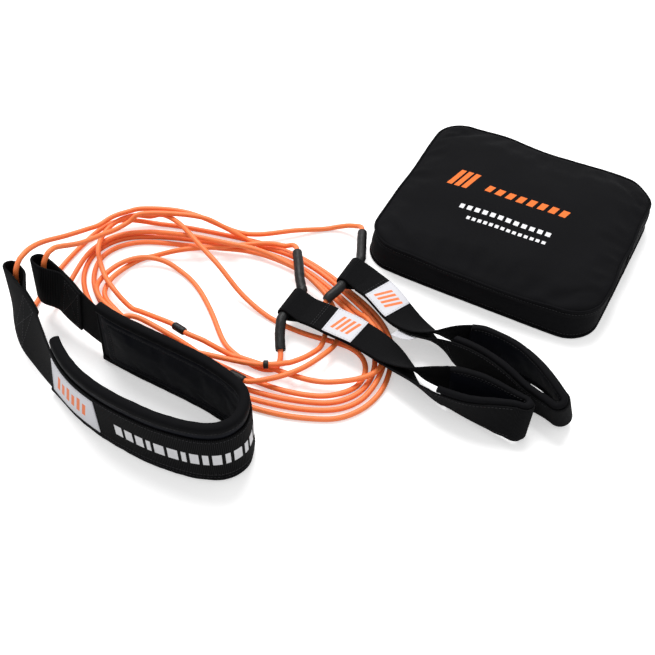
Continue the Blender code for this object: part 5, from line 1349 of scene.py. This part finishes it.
def strap_pieces(name, look):
    """A hand strap: folded webbing, quilted hand pad, bindings, label and stitches."""
    hinge, label_start, pad_start, table = STRAPS[name]
    form = StrapForm(hinge, label_start, pad_start, table)
    half = STRAP_WEBBING_THICKNESS / 2
    section = flat_band(STRAP_WEBBING_WIDTH, STRAP_WEBBING_THICKNESS, steps=12)
    mesh = skin_mesh(name + "_band", form.rings(section))
    placed(name + "_band", mesh, look["strap"], name, [name + "_webbing"])

    through = half + STRAP_PAD_THICKNESS / 2 + TAPE_THICKNESS + 2 * GAP
    first = form.near_from + form.pad_row
    last = form.far_end + form.count - 1 - form.pad_row
    width = STRAP_PAD_WIDTH - 2 * (TAPE_THICKNESS + GAP)

    def pad(share):
        shut = eased(min(share, 1 - share), 0.0, 0.03)
        thickness = STRAP_PAD_THICKNESS * (0.6 + 0.4 * shut)
        return pad_section(width, thickness, 0.0, through, 0.0009 * shut, row=PAD_SEWN_ROW)

    rings = form.rings(pad, first, last)
    mesh = skin_mesh(name + "_padding", rings)
    free = free_columns(pad(0.5), 0.0, through, width / 2, PAD_SEWN_ROW)
    swollen_columns(mesh, rings, free, STRAP_PAD_SWELL)
    rumpled(mesh, (0.018, 0.0007), (0.007, 0.0002))
    piece = placed(name + "_padding", mesh, look["padding"], name, [name + "_pad"])
    rows = []
    count = int(last - first)
    stations = [first + i * (last - first) / count for i in range(1, count)]
    for side in (-1, 1):
        spot = (side * (width / 2 - PAD_SEWN_ROW), through + STRAP_PAD_THICKNESS / 2 - 0.0003)
        rows.append([ring_at(form.frames, at, [spot])[0] for at in stations[1:-1]])
    for end, side in (("top", -1), ("bottom", 1)):
        edge = width / 2 + GAP
        inner = STRAP_PAD_THICKNESS + 2 * GAP
        section = bound_edge(inner, STRAP_TAPE_LEG, TAPE_THICKNESS, edge - 0.0004, side, through, 0.0003)
        piece_name = name + "_binding_" + end
        mesh = skin_mesh(piece_name, form.rings(section, first, last))
        rumpled(mesh, (0.010, 0.0004), (0.004, 0.0002))
        placed(piece_name, mesh, look["binding"], name, [name + "_edge_tape_" + end])
        a = side * (edge - 0.0004 - STRAP_TAPE_LEG * 0.7)
        out = through + inner / 2 + TAPE_THICKNESS + 0.0003
        rows.append([ring_at(form.frames, at, [(a, out)])[0] for at in stations])

    # Sewn lines across both layers beside the hose and beside the loop, and along the band's edges
    outer = half + 0.0001
    for length in (0.017, 0.020, pad_start - 0.012, pad_start - 0.008):
        far = form.station(length)
        near = form.near_from + far
        for frames, at, face in ((form.far_frames, far, outer), (form.frames, near, -outer)):
            rows.append([ring_at(frames, at, [(a, face)])[0] for a in np.linspace(-0.0165, 0.0165, 10)])
    for side in (-1, 1):
        span = np.arange(form.pad_row, form.count - 1)
        a = side * 0.0168
        rows.append([ring_at(form.far_frames, float(at), [(a, outer)])[0] for at in span])
        rows.append([ring_at(form.frames, form.near_from + float(at), [(a, -outer)])[0] for at in span])
    sewn_line(name + "_stitches", rows, look["thread"], name)

    out = half + LABEL_THICKNESS / 2 + GAP
    section = flat_band(STRAP_LABEL_SIDE, LABEL_THICKNESS, through=out, steps=10)
    rings = form.rings(section, form.label_from, form.label_to, form.far_frames)
    mesh = skin_mesh(name + "_name_label", rings, across=[a for a, _ in section])
    placed(name + "_name_label", mesh, look["strap_label"], name, [name + "_label"])
    top = out + LABEL_THICKNESS / 2 + 0.0001
    edge = STRAP_LABEL_SIDE / 2 - 0.0016
    lines = []
    for a in (-edge, edge):
        steps = np.linspace(form.label_from + 0.35, form.label_to - 0.35, 10)
        lines.append([ring_at(form.far_frames, float(at), [(a, top)])[0] for at in steps])
    for at in (form.label_from + 0.35, form.label_to - 0.35):
        lines.append([ring_at(form.far_frames, at, [(a, top)])[0] for a in np.linspace(-edge, edge, 10)])
    sewn_line(name + "_label_stitches", lines, look["pale_thread"], name)

    if name == "strap_2":
        first = form.near_from + form.station(CARE_LABEL_START)
        last = form.near_from + form.station(CARE_LABEL_START + CARE_LABEL_LENGTH)
        under = -(STRAP_WEBBING_THICKNESS + LABEL_THICKNESS) / 2 - 2 * GAP
        edge = -STRAP_WEBBING_WIDTH / 2 - 0.0045
        section = flat_band(0.015, LABEL_THICKNESS * 0.6, edge, under, steps=8)
        rings = form.rings(section, first, last)
        mesh = skin_mesh("strap_2_folded_tag", rings, across=[a for a, _ in section])
        for vertex in mesh.vertices:
            vertex.co.z += wrinkle(vertex.co, 0.02, 0.0006)
        placed("strap_2_folded_tag", mesh, look["care_label"], name, ["strap_2_care_label"])


def smooth_route(points, step):
    """Evenly spaced points on a smooth curve through a route."""
    fine, lengths = smooth_rows([tuple(point) for point in points])
    count = max(2, round(lengths[-1] / step))
    at = np.linspace(0, lengths[-1], count + 1)
    return [Vector(point) for point in np.array([np.interp(at, lengths, column) for column in fine.T]).T]


def tube_rings(path, diameter, sides, shape=None):
    """Rings round a path that turn as little as they can."""
    ways = tangents(path)
    side = ways[0].orthogonal().normalized()
    rings = []
    for index, (point, along) in enumerate(zip(path, ways)):
        side = (side - along * side.dot(along)).normalized()
        face = along.cross(side)
        share = index / (len(path) - 1)
        size = diameter * (shape(share) if shape else 1.0)
        rings.append([point + side * a + face * b for a, b in round_ring(size, sides)])
    return rings


def angle_shares(sides):
    return [i / sides for i in range(sides)]


def tube_mesh(name, path, diameter, sides, shape=None):
    """A closed tube whose map runs in metres along it and in turns round it."""
    mesh = skin_mesh(name, tube_rings(path, diameter, sides, shape), across=angle_shares(sides))
    layer = mesh.uv_layers["run"]
    values = np.empty(len(layer.data) * 2)
    layer.data.foreach_get("uv", values)
    pairs = values.reshape(-1, 2)
    for polygon in mesh.polygons:
        loops = list(polygon.loop_indices)
        around = pairs[loops, 1]
        if around.max() - around.min() > 0.5:
            pairs[loops, 1] = np.where(around < 0.5, around + 1.0, around)
    layer.data.foreach_set("uv", pairs.ravel())
    return mesh


def sleeve_pieces(look):
    """The three sleeves that join the cords' ends, pinched in at both ends."""
    made = {}
    for name, (start, end) in SPLICE_RUNS.items():
        start, end = Vector(start), Vector(end)
        path = [start.lerp(end, t) for t in np.linspace(0, 1, 15)]

        def pinch(share):
            edge = min(share, 1 - share)
            return 0.80 + 0.20 * eased(edge, 0.0, 0.10)

        title = name + "_sleeve"
        mesh = tube_mesh(title, path, SPLICE_DIAMETER, 20, pinch)
        made[name] = placed(title, mesh, look["hose"], "root", [name])
    return made


def relaxed(path, rounds, lowest):
    """Evens out a cord's bends in plan, away from the hoses and its ends, and lifts it off the floor."""
    near = [Vector(point) for points in HOSE_ROUTES.values() for point in points]
    free = [min((point - other).length for other in near) > CORD_HELD_REACH for point in path]
    for _ in range(rounds):
        out = [point.copy() for point in path]
        for i in range(4, len(path) - 4):
            if free[i]:
                middle = (path[i - 1] + path[i + 1]) / 2
                out[i].xy = (path[i].xy + middle.xy) / 2
        path = out
    return [Vector((point.x, point.y, max(point.z, lowest))) for point in path]


def cord_pieces(look):
    """The three lengths of elastic cord, laid from sleeve to sleeve."""
    sleeves = sleeve_pieces(look)
    diameter = bpy.context.scene.trainer_sizes.cord_diameter
    for name, points in CORD_ROUTES.items():
        path = relaxed(smooth_route(points, CORD_STEP), CORD_ROUNDS, diameter / 2)
        title = name + "_braided"
        mesh = tube_mesh(title, path, diameter, CORD_SIDES)
        piece = placed(title, mesh, look["cord"], "root", [name])


def hose_pieces(look):
    """The two hoses that the hand straps hang on, with their bores and soft creases."""
    for name, points in HOSE_ROUTES.items():
        path = smooth_route(points, HOSE_STEP)
        outer = tube_rings(path, HOSE_DIAMETER, HOSE_SIDES)
        bore = tube_rings(path, HOSE_BORE, HOSE_SIDES)
        last = len(path) - 1
        lip = [[point + (centre - point) * 0.05 for point in ring] for ring, centre in zip(outer, path)]
        rings = [lip[0]] + outer[1:last] + [lip[last]] + bore[::-1]
        across = angle_shares(HOSE_SIDES)
        mesh = skin_mesh(name + "_shrunk", rings, closed=True, across=across)
        for vertex in mesh.vertices:
            place = vertex.co
            nearest = min(range(len(path)), key=lambda i: (path[i] - place).length_squared)
            away = place - path[nearest]
            if away.length > HOSE_BORE / 2 + 0.0008:
                crease = wrinkle(Vector((place.x, place.y, nearest * 0.002)), 0.006, 0.00028)
                vertex.co += away.normalized() * crease
        placed(name + "_shrunk", mesh, look["hose"], "root", [name])


def plan_way(x, y):
    """The way out of the pouch's wall in plan at a place, and how near the place is to the wall."""
    inner = (POUCH_LENGTH / 2 - POUCH_CORNER, POUCH_DEPTH / 2 - POUCH_CORNER)
    from_middle = (x - POUCH_MIDDLE[0], y - POUCH_MIDDLE[1])
    held = [max(-limit, min(limit, value)) for value, limit in zip(from_middle, inner)]
    way = Vector((from_middle[0] - held[0], from_middle[1] - held[1], 0))
    near = min(1.0, way.length / POUCH_CORNER)
    return (way.normalized() if way.length > 1e-6 else way), near


def kept_lines(shift, way, z):
    """A wall's movement, stopped on the zip's straight run and not outward at the fold along the front."""
    back = eased(way.y, 0.80, 0.98) * math.exp(-((z - ZIP_HEIGHT) / KEPT_REACH) ** 2)
    front = eased(-way.y, 0.50, 0.90) * math.exp(-((z - FOLD_HEIGHT) / KEPT_REACH) ** 2)
    return shift * (1 - back) - way * max(0.0, shift.dot(way)) * front


def give(place):
    """Where a place on the pouch goes when the walls give way; the floor and the zip's line hold."""
    sag = bpy.context.scene.trainer_sizes.sag
    way, near = plan_way(place.x, place.y)
    high = eased(place.z, 0.001, 0.042)
    rumple = noise.noise(Vector((place.x, place.y, place.z * 0.6)) * 17 + Vector((3.1, 0, 0)))
    dent = -0.6 * math.exp(-((place.x - 0.165) / 0.060) ** 2) * (way.y > 0.7)
    dent -= 0.9 * math.exp(-((place.y - 0.185) / 0.050) ** 2) * (way.x < -0.7)
    dent += 0.35 * math.exp(-((place.x - 0.120) / 0.070) ** 2) * (way.y < -0.7)
    shift = way * near ** 2 * high * sag * (0.7 * rumple + dent)
    for corner, pull, spread in POUCH_PULLS:
        away = Vector((POUCH_MIDDLE[0] - corner[0], POUCH_MIDDLE[1] - corner[1], 0)).normalized()
        distance = (place.x - corner[0]) ** 2 + (place.y - corner[1]) ** 2
        shift += away * pull * math.exp(-distance / spread ** 2) * (0.55 + 0.45 * high)
    drop = noise.noise(Vector((place.x, place.y, 0)) * 11 + Vector((0, 7.3, 0)))
    drop -= 0.7 * math.exp(-((place.x - 0.02) ** 2 + (place.y - 0.10) ** 2) / 0.004)
    shift.z += high * sag * 0.55 * drop
    return place + kept_lines(shift, way, place.z)


def panel_lines(length, corner):
    """Grid lines along one side of a rounded panel."""
    straight = length - 2 * corner
    count = max(1, round(straight / 0.0050))
    ends = [corner * i / 7 for i in range(7)]
    middle = [corner + straight * i / count for i in range(count)]
    return ends + middle + [length - end for end in [corner] + ends[:0:-1]] + [length]


def round_corner(x, y, length, depth, corner):
    """Pulls a square grid's corners into round ones."""
    a = max(corner - x, x - (length - corner)) / corner
    b = max(corner - y, y - (depth - corner)) / corner
    if a <= 0 or b <= 0:
        return x, y
    share = max(a, b) / math.hypot(a, b)
    x = corner * (1 - a * share) if x < corner else length - corner * (1 - a * share)
    y = corner * (1 - b * share) if y < corner else depth - corner * (1 - b * share)
    return x, y


def panel_grid(inset, height):
    """A rounded panel's points, its faces and the order of its rim, anticlockwise."""
    length, depth, corner = POUCH_LENGTH - 2 * inset, POUCH_DEPTH - 2 * inset, POUCH_CORNER - inset
    xs, ys = panel_lines(length, corner), panel_lines(depth, corner)
    points = []
    for y in ys:
        for x in xs:
            a, b = round_corner(x, y, length, depth, corner)
            near = (1 - math.exp(-min(a, length - a) / 0.022)) * (1 - math.exp(-min(b, depth - b) / 0.022))
            points.append(Vector((POUCH_LEFT + inset + a, POUCH_FRONT + inset + b, height(near))))
    wide, deep = len(xs), len(ys)
    faces = [(j * wide + i, j * wide + i + 1, (j + 1) * wide + i + 1, (j + 1) * wide + i)
             for j in range(deep - 1) for i in range(wide - 1)]
    rim = list(range(wide)) + [j * wide + wide - 1 for j in range(1, deep)]
    rim += [(deep - 1) * wide + i for i in range(wide - 2, -1, -1)]
    rim += [j * wide for j in range(deep - 2, 0, -1)]
    return points, faces, rim


def walls_below(points, faces, rim, inset, steps):
    """Adds wall rows to a panel; each step gives its inset and height for a place in plan."""
    faces = list(faces)
    points = list(points)
    ways = [plan_way(points[i].x, points[i].y)[0] for i in rim]
    edge = [points[i] + way * inset for i, way in zip(rim, ways)]
    previous = rim
    arc = [0.0]
    for a, b in zip(edge, edge[1:] + edge[:1]):
        arc.append(arc[-1] + math.hypot(b.x - a.x, b.y - a.y))
    wall_faces = []
    for step in steps:
        row = []
        for place, way in zip(edge, ways):
            inward, z = step(place)
            row.append(len(points))
            points.append(Vector((place.x, place.y, z)) - way * inward)
        count = len(rim)
        for i in range(count):
            j = (i + 1) % count
            wall_faces.append((previous[i], row[i], row[j], previous[j]))
        previous = row
    return points, faces, wall_faces, arc


def shell_mesh(name, points, top_faces, wall_faces, arc, wall, looks_in):
    """A fabric shell with thickness, mapped by its plan on the panel and by its outline on the walls."""
    work = bmesh.new()
    layer = work.loops.layers.uv.new("run")
    made = [work.verts.new(give(point)) for point in points]
    for face in top_faces:
        new = work.faces.new([made[i] for i in face])
        for loop, i in zip(new.loops, face):
            loop[layer].uv = (points[i].x, points[i].y)
    count = len(arc) - 1
    for index, face in enumerate(wall_faces):
        new = work.faces.new([made[i] for i in face])
        new.material_index = 1
        at = index % count
        for loop, u, i in zip(new.loops, (arc[at], arc[at], arc[at + 1], arc[at + 1]), face):
            loop[layer].uv = (u + 1.0, points[i].z)
    bmesh.ops.recalc_face_normals(work, faces=work.faces)
    middle = max(work.faces, key=lambda face: face.calc_center_median().z)
    if middle.normal.z < 0 and name.endswith("upper"):
        bmesh.ops.reverse_faces(work, faces=work.faces)
    mesh = bpy.data.meshes.new(name)
    work.to_mesh(mesh)
    work.free()
    for look in looks_in:
        mesh.materials.append(look)
    piece = linked(name, mesh)
    modifier = piece.modifiers.new("thickness", "SOLIDIFY")
    modifier.thickness = wall
    modifier.offset = -1
    modifier.material_offset = 2
    out = bpy.data.meshes.new_from_object(piece.evaluated_get(bpy.context.evaluated_depsgraph_get()))
    bpy.data.objects.remove(piece)
    out.name = name
    out.shade_smooth()
    return out


def outline_path(inset, z, step=0.004):
    """The pouch's outline in plan as a path, anticlockwise from the middle of its front."""
    corner = POUCH_CORNER - inset
    left, right = POUCH_LEFT + inset, POUCH_RIGHT - inset
    front, back = POUCH_FRONT + inset, POUCH_BACK - inset
    corners = (((right - corner, front + corner), -90), ((right - corner, back - corner), 0),
               ((left + corner, back - corner), 90), ((left + corner, front + corner), 180))
    places = [(POUCH_MIDDLE[0], front)]
    for (x, y), start in corners:
        for angle in np.linspace(start, start + 90, 13):
            turn = math.radians(angle)
            places.append((x + corner * math.cos(turn), y + corner * math.sin(turn)))
    places.append((POUCH_MIDDLE[0], front))
    flat = np.array(places)
    lengths = np.concatenate([[0], np.cumsum(np.linalg.norm(np.diff(flat, axis=0), axis=1))])
    at = np.linspace(0, lengths[-1], max(2, round(lengths[-1] / step)) + 1)
    return [Vector((np.interp(s, lengths, flat[:, 0]), np.interp(s, lengths, flat[:, 1]), z)) for s in at]


def zip_line(z, out=0.0):
    """The zip's path, from the right wall round the back to the left wall."""
    path = outline_path(-out, z, step=0.0030)
    return [point for point in path if point.y >= ZIP_REACH - 0.0005]


def wall_strip(path, section):
    """Rings of a strip on the pouch's wall; sections run up and outward."""
    frames = frames_along(path, [Vector((0, 0, 1))] * len(path))
    rings = [ring_at(frames, float(i), section) for i in range(len(path))]
    return [[give(point) for point in ring] for ring in rings]


def pouch_pieces(look):
    """The pouch: printed upper shell, lower shell with the fabric along its front, and pipings."""
    def crowned(near):
        return POUCH_SEAM + 0.0006 + (POUCH_CROWN - 0.0012) * near

    points, faces, rim = panel_grid(0.0022, crowned)
    mesh = bpy.data.meshes.new("top_panel")
    mesh.from_pydata([tuple(point) for point in points], [], faces)
    mesh.update()
    swollen(mesh, rim, POUCH_TOP_PRESSURE, POUCH_TOP_GROWTH, POUCH_TOP_SWELL, POUCH_TOP_STIFFNESS)
    points = [vertex.co.copy() for vertex in mesh.vertices]
    bpy.data.meshes.remove(mesh)
    on_rim = set(rim)
    for index, point in enumerate(points):
        if index not in on_rim:
            edge = min(point.x - POUCH_LEFT, POUCH_RIGHT - point.x,
                       point.y - POUCH_FRONT, POUCH_BACK - point.y)
            pucker = wrinkle(point, 0.011, 0.0013) * math.exp(-edge / 0.016)
            fold = wrinkle(Vector((point.x * 0.45, point.y, 0)), 0.012, 0.0016) * math.exp(-edge / 0.030)
            wide = wrinkle(point, 0.050, 0.0020)
            point.z += (pucker + fold) * eased(edge, 0, 0.004) + wide * eased(edge, 0, 0.03)
    steps = (lambda p: (0.0012, 0.0394), lambda p: (0.0002, 0.0374), lambda p: (-0.0005, 0.0342),
             lambda p: (-0.0002, 0.0318), lambda p: (0.0, ZIP_HEIGHT + ZIP_OPENING / 2))
    points, top, walls, arc = walls_below(points, faces, rim, 0.0022, steps)
    looks_in = [look["top"], look["pouch"], look["pouch"]]
    mesh = shell_mesh("pouch_shell_upper", points, top, walls, arc, POUCH_SHELL, looks_in)
    placed("pouch_shell_upper", mesh, None, "pouch_lid", ["pouch_lid"])

    def rise(share):
        def step(place):
            zipped = place.y > ZIP_REACH
            high = ZIP_HEIGHT - ZIP_OPENING / 2 if zipped else ZIP_HEIGHT + ZIP_OPENING / 2 - GAP
            z = 0.0034 + (high - 0.0034) * share
            return -0.0009 * math.sin(math.pi * share) + 0.0002, z
        return step

    points, faces, rim = panel_grid(0.0034, lambda near: 0.0)
    steps = [lambda p: (0.0016, 0.0006), lambda p: (0.0010, 0.0018)]
    steps += [rise(share) for share in np.linspace(0, 1, 7)]
    points, flat, walls, arc = walls_below(points, faces, rim, 0.0034, steps)
    looks_in = [look["pouch"]] * 3
    mesh = shell_mesh("pouch_shell_lower", points, flat, walls, arc, POUCH_SHELL, looks_in)
    placed("pouch_shell_lower", mesh, None, "root", ["pouch_base"])

    # The strip of fabric along the front, at the height where the lid folds open
    front = [point for point in outline_path(0, FOLD_HEIGHT) if point.y < POUCH_FRONT + 0.0005]
    front = sorted(front, key=lambda point: point.x)[1:-1]
    section = flat_band(FOLD_FABRIC_WIDTH, 0.0008, 0.0, -0.0006, steps=16)
    mesh = skin_mesh("pouch_front_fold", wall_strip(front, section))
    mesh.materials.append(look["pouch"])
    piece = linked("pouch_front_fold", mesh)
    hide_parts("pouch_hinge_strip")
    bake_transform(piece)

    for name, node, inset, z, body in (("piping_upper", "piping_top", 0.0002, 0.0398, "pouch_lid"),
                                       ("piping_lower", "piping_bottom", -0.0003, 0.0019, "root")):
        path = [give(point) for point in outline_path(inset, z)[:-1]]
        ways = tangents(path, True)
        rings = []
        for point, along in zip(path, ways):
            side = along.cross(Vector((0, 0, 1))).normalized()
            face = side.cross(along)
            size = PIPING_DIAMETER * (1 + wrinkle(point, 0.006, 0.10))
            rings.append([point + side * a + face * b for a, b in round_ring(size, 12)])
        mesh = skin_mesh(name, rings, closed=True)
        lowest = min(vertex.co.z for vertex in mesh.vertices)
        if lowest < 0:
            for vertex in mesh.vertices:
                vertex.co.z = max(vertex.co.z, 0.0)
        placed(name, mesh, look["binding"], body, [node])

    # Sewing beside the piping on the top and on the walls
    beside = outline_path(-0.0006, 0.0360)
    sewn_line("pouch_upper_stitches", [[give(point) for point in beside]], look["thread"], "pouch_lid")
    beside = outline_path(-0.0004, 0.0062)
    sewn_line("pouch_lower_stitches", [[give(point) for point in beside]], look["thread"], "root")


def softened(node, name, width):
    """A copy of a CAD node's shape with its edges rounded."""
    source = bpy.data.objects[node]
    work = bmesh.new()
    work.from_mesh(source.data)
    bmesh.ops.remove_doubles(work, verts=work.verts, dist=1e-6)
    bmesh.ops.dissolve_limit(work, angle_limit=0.02, verts=work.verts, edges=work.edges)
    bmesh.ops.bevel(work, geom=list(work.edges), offset=width, segments=2, affect="EDGES", clamp_overlap=True)
    bmesh.ops.recalc_face_normals(work, faces=work.faces)
    work.transform(source.matrix_world)
    return finished(work, name)


def zip_pieces(look):
    """The zip: two tapes, two rows of moulded teeth, end tabs, slider and puller."""
    sizes = bpy.context.scene.trainer_sizes
    low, high = 0.0009, ZIP_TAPE_FOOT + ZIP_TAPE_HEIGHT
    path = zip_line(ZIP_HEIGHT)
    for end, side, body in (("upper", 1, "pouch_lid"), ("lower", -1, "root")):
        name = "zip_fabric_" + end
        section = flat_band(high - low, 0.0009, side * (low + high) / 2, 0.00055, steps=8, swell=0.0001)
        mesh = skin_mesh(name, wall_strip(path, section))
        placed(name, mesh, look["binding"], body, ["zip_tape_" + end])
        z = ZIP_HEIGHT + side * 0.0011
        teeth = [give(point) for point in zip_line(z, 0.0011)]
        if side < 0:
            teeth = teeth[1:]
        name = "zip_row_" + end
        set_out(name, [[tuple(point) for point in teeth]], "tooth", sizes.tooth_pitch, 0.0011, 0.0017, 0.0023,
                look["teeth"], body, ["zip_teeth_" + end])
        z = ZIP_HEIGHT + side * (high - 0.0018)
        sewn = [give(point) for point in zip_line(z, 0.0011)]
        z = ZIP_HEIGHT + side * (high - 0.0045)
        inner = [give(point) for point in zip_line(z, 0.0011)]
        sewn_line("zip_stitches_" + end, [sewn, inner], look["thread"], body, 0.8)
    for name, node in (("zip_tab_left", "zip_end_tab_left"), ("zip_tab_right", "zip_end_tab_right")):
        low_corner, high_corner = (Vector(corner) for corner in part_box(node))
        x = POUCH_LEFT if name.endswith("left") else POUCH_RIGHT
        middle = (low_corner + high_corner) / 2
        way = -1 if name.endswith("left") else 1
        deep = high_corner.y - low_corner.y
        path = [Vector((x, low_corner.y + deep * t, middle.z)) for t in np.linspace(0, 1, 7)]
        if way < 0:
            path = path[::-1]
        section = flat_band(high_corner.z - low_corner.z, 0.0011, 0.0, 0.0006, steps=8, swell=0.0003)
        mesh = skin_mesh(name, wall_strip(path, section))
        placed(name, mesh, look["binding"], "root", [node])
    placed("zip_runner", softened("zip_slider", "zip_runner", 0.00022), look["metal"], "zip_slider",
           ["zip_slider"], 40)
    placed("zip_pull", softened("zip_puller", "zip_pull", 0.00030), look["metal"], "zip_puller",
           ["zip_puller"], 40)


def set_stage():
    """Floor, pale surroundings, soft overhead light and the camera."""
    scene = bpy.context.scene
    floor = bpy.data.meshes.new("floor")
    corners = [(x * FLOOR_REACH, y * FLOOR_REACH, -FLOOR_DROP)
               for x, y in ((-1, -1), (1, -1), (1, 1), (-1, 1))]
    floor.from_pydata(corners, [], [(0, 1, 2, 3)])
    ground = linked("floor", floor)
    paper = bpy.data.materials.new("floor")
    paper.use_nodes = True
    tree = paper.node_tree
    tree.nodes.clear()
    out = tree.nodes.new("ShaderNodeOutputMaterial")
    diffuse = tree.nodes.new("ShaderNodeBsdfDiffuse")
    diffuse.inputs["Color"].default_value = (0.86, 0.86, 0.86, 1)
    glow = tree.nodes.new("ShaderNodeEmission")
    both = tree.nodes.new("ShaderNodeAddShader")
    ray = tree.nodes.new("ShaderNodeLightPath")
    dim = tree.nodes.new("ShaderNodeMath")
    dim.operation = "MULTIPLY"
    tree.links.new(ray.outputs["Is Camera Ray"], dim.inputs[0])
    dim.inputs[1].default_value = FLOOR_GLOW
    tree.links.new(dim.outputs[0], glow.inputs["Strength"])
    tree.links.new(diffuse.outputs[0], both.inputs[0])
    tree.links.new(glow.outputs[0], both.inputs[1])
    tree.links.new(both.outputs[0], out.inputs["Surface"])
    floor.materials.append(paper)

    world = bpy.data.worlds.new("surroundings")
    world.use_nodes = True
    scene.world = world
    tree = world.node_tree
    tree.nodes.clear()
    out = tree.nodes.new("ShaderNodeOutputWorld")
    seen = tree.nodes.new("ShaderNodeBackground")
    seen.inputs["Color"].default_value = (1, 1, 1, 1)
    lit = tree.nodes.new("ShaderNodeBackground")
    lit.inputs["Color"].default_value = (1, 1, 1, 1)
    lit.inputs["Strength"].default_value = WORLD_LIGHT
    pick = tree.nodes.new("ShaderNodeMixShader")
    ray = tree.nodes.new("ShaderNodeLightPath")
    seen_by = ray.outputs["Is Camera Ray"]
    for kind in ("Is Glossy Ray", "Is Transmission Ray"):
        either = tree.nodes.new("ShaderNodeMath")
        either.operation = "MAXIMUM"
        tree.links.new(seen_by, either.inputs[0])
        tree.links.new(ray.outputs[kind], either.inputs[1])
        seen_by = either.outputs[0]
    tree.links.new(seen_by, pick.inputs[0])
    tree.links.new(lit.outputs[0], pick.inputs[1])
    tree.links.new(seen.outputs[0], pick.inputs[2])
    tree.links.new(pick.outputs[0], out.inputs["Surface"])

    data = bpy.data.lights.new("key", "SUN")
    data.energy = KEY_STRENGTH
    data.angle = math.radians(KEY_SPREAD)
    lamp = linked("key", data)
    lamp.location = KEY_FROM
    lamp.rotation_euler = (-Vector(KEY_FROM)).to_track_quat("-Z", "Y").to_euler()

    data = bpy.data.cameras.new("camera")
    data.lens = CAMERA_LENS
    data.sensor_width = 36
    camera = linked("camera", data)
    up, round_by = math.radians(CAMERA_RISE), math.radians(CAMERA_TURN)
    away = Vector((math.sin(round_by) * math.cos(up), -math.cos(round_by) * math.cos(up), math.sin(up)))
    camera.location = Vector(CAMERA_TARGET) + away * CAMERA_DISTANCE
    camera.rotation_euler = (-away).to_track_quat("-Z", "Y").to_euler()
    scene.camera = camera
    scene.view_settings.view_transform = "Standard"


class TRAINER_OT_cords(bpy.types.Operator):
    """Lay the elastic cords and the sleeves that join them"""

    bl_idname = "trainer.cords"
    bl_label = "Elastic cords"

    def execute(self, context):
        cord_pieces(looks())
        return {"FINISHED"}


class TRAINER_OT_hoses(bpy.types.Operator):
    """Make the two hoses that the hand straps hang on"""

    bl_idname = "trainer.hoses"
    bl_label = "Hoses"

    def execute(self, context):
        hose_pieces(looks())
        return {"FINISHED"}


class TRAINER_OT_belt(bpy.types.Operator):
    """Make the padded waist belt with its label and stitches"""

    bl_idname = "trainer.belt"
    bl_label = "Waist belt"

    def execute(self, context):
        belt_pieces(looks())
        return {"FINISHED"}


class TRAINER_OT_straps(bpy.types.Operator):
    """Make the two padded hand straps"""

    bl_idname = "trainer.straps"
    bl_label = "Hand straps"

    def execute(self, context):
        for name in STRAPS:
            strap_pieces(name, looks())
        return {"FINISHED"}


class TRAINER_OT_pouch(bpy.types.Operator):
    """Make the pouch's shells and pipings"""

    bl_idname = "trainer.pouch"
    bl_label = "Pouch"

    def execute(self, context):
        pouch_pieces(looks())
        return {"FINISHED"}


class TRAINER_OT_zip(bpy.types.Operator):
    """Make the pouch's zip with its teeth, slider and puller"""

    bl_idname = "trainer.zip"
    bl_label = "Zip"

    def execute(self, context):
        zip_pieces(looks())
        return {"FINISHED"}


class TRAINER_OT_stage(bpy.types.Operator):
    """Set out the floor, the light and the camera"""

    bl_idname = "trainer.stage"
    bl_label = "Stage"

    def execute(self, context):
        set_stage()
        return {"FINISHED"}


STEPS = (TRAINER_OT_stage, TRAINER_OT_cords, TRAINER_OT_hoses, TRAINER_OT_belt, TRAINER_OT_straps,
         TRAINER_OT_pouch, TRAINER_OT_zip)


class TRAINER_PT_build(bpy.types.Panel):
    """The trainer's pieces, sizes and colours"""

    bl_idname = "TRAINER_PT_build"
    bl_label = "Sprint trainer"
    bl_space_type = "VIEW_3D"
    bl_region_type = "UI"
    bl_category = "Trainer"

    def draw(self, context):
        column = self.layout.column()
        for group in (context.scene.trainer_sizes, context.scene.trainer_colours):
            for name in group.__annotations__:
                column.prop(group, name)
        for step in STEPS:
            column.operator(step.bl_idname)


CLASSES = (TrainerSizes, TrainerColours, *STEPS, TRAINER_PT_build)


def register():
    for item in CLASSES:
        bpy.utils.register_class(item)
    bpy.types.Scene.trainer_sizes = PointerProperty(type=TrainerSizes)
    bpy.types.Scene.trainer_colours = PointerProperty(type=TrainerColours)


def unregister():
    del bpy.types.Scene.trainer_colours
    del bpy.types.Scene.trainer_sizes
    for item in reversed(CLASSES):
        bpy.utils.unregister_class(item)


def main():
    register()
    for step in STEPS:
        area, action = step.bl_idname.split(".")
        getattr(getattr(bpy.ops, area), action)()
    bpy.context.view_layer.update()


if __name__ == "__main__":
    main()
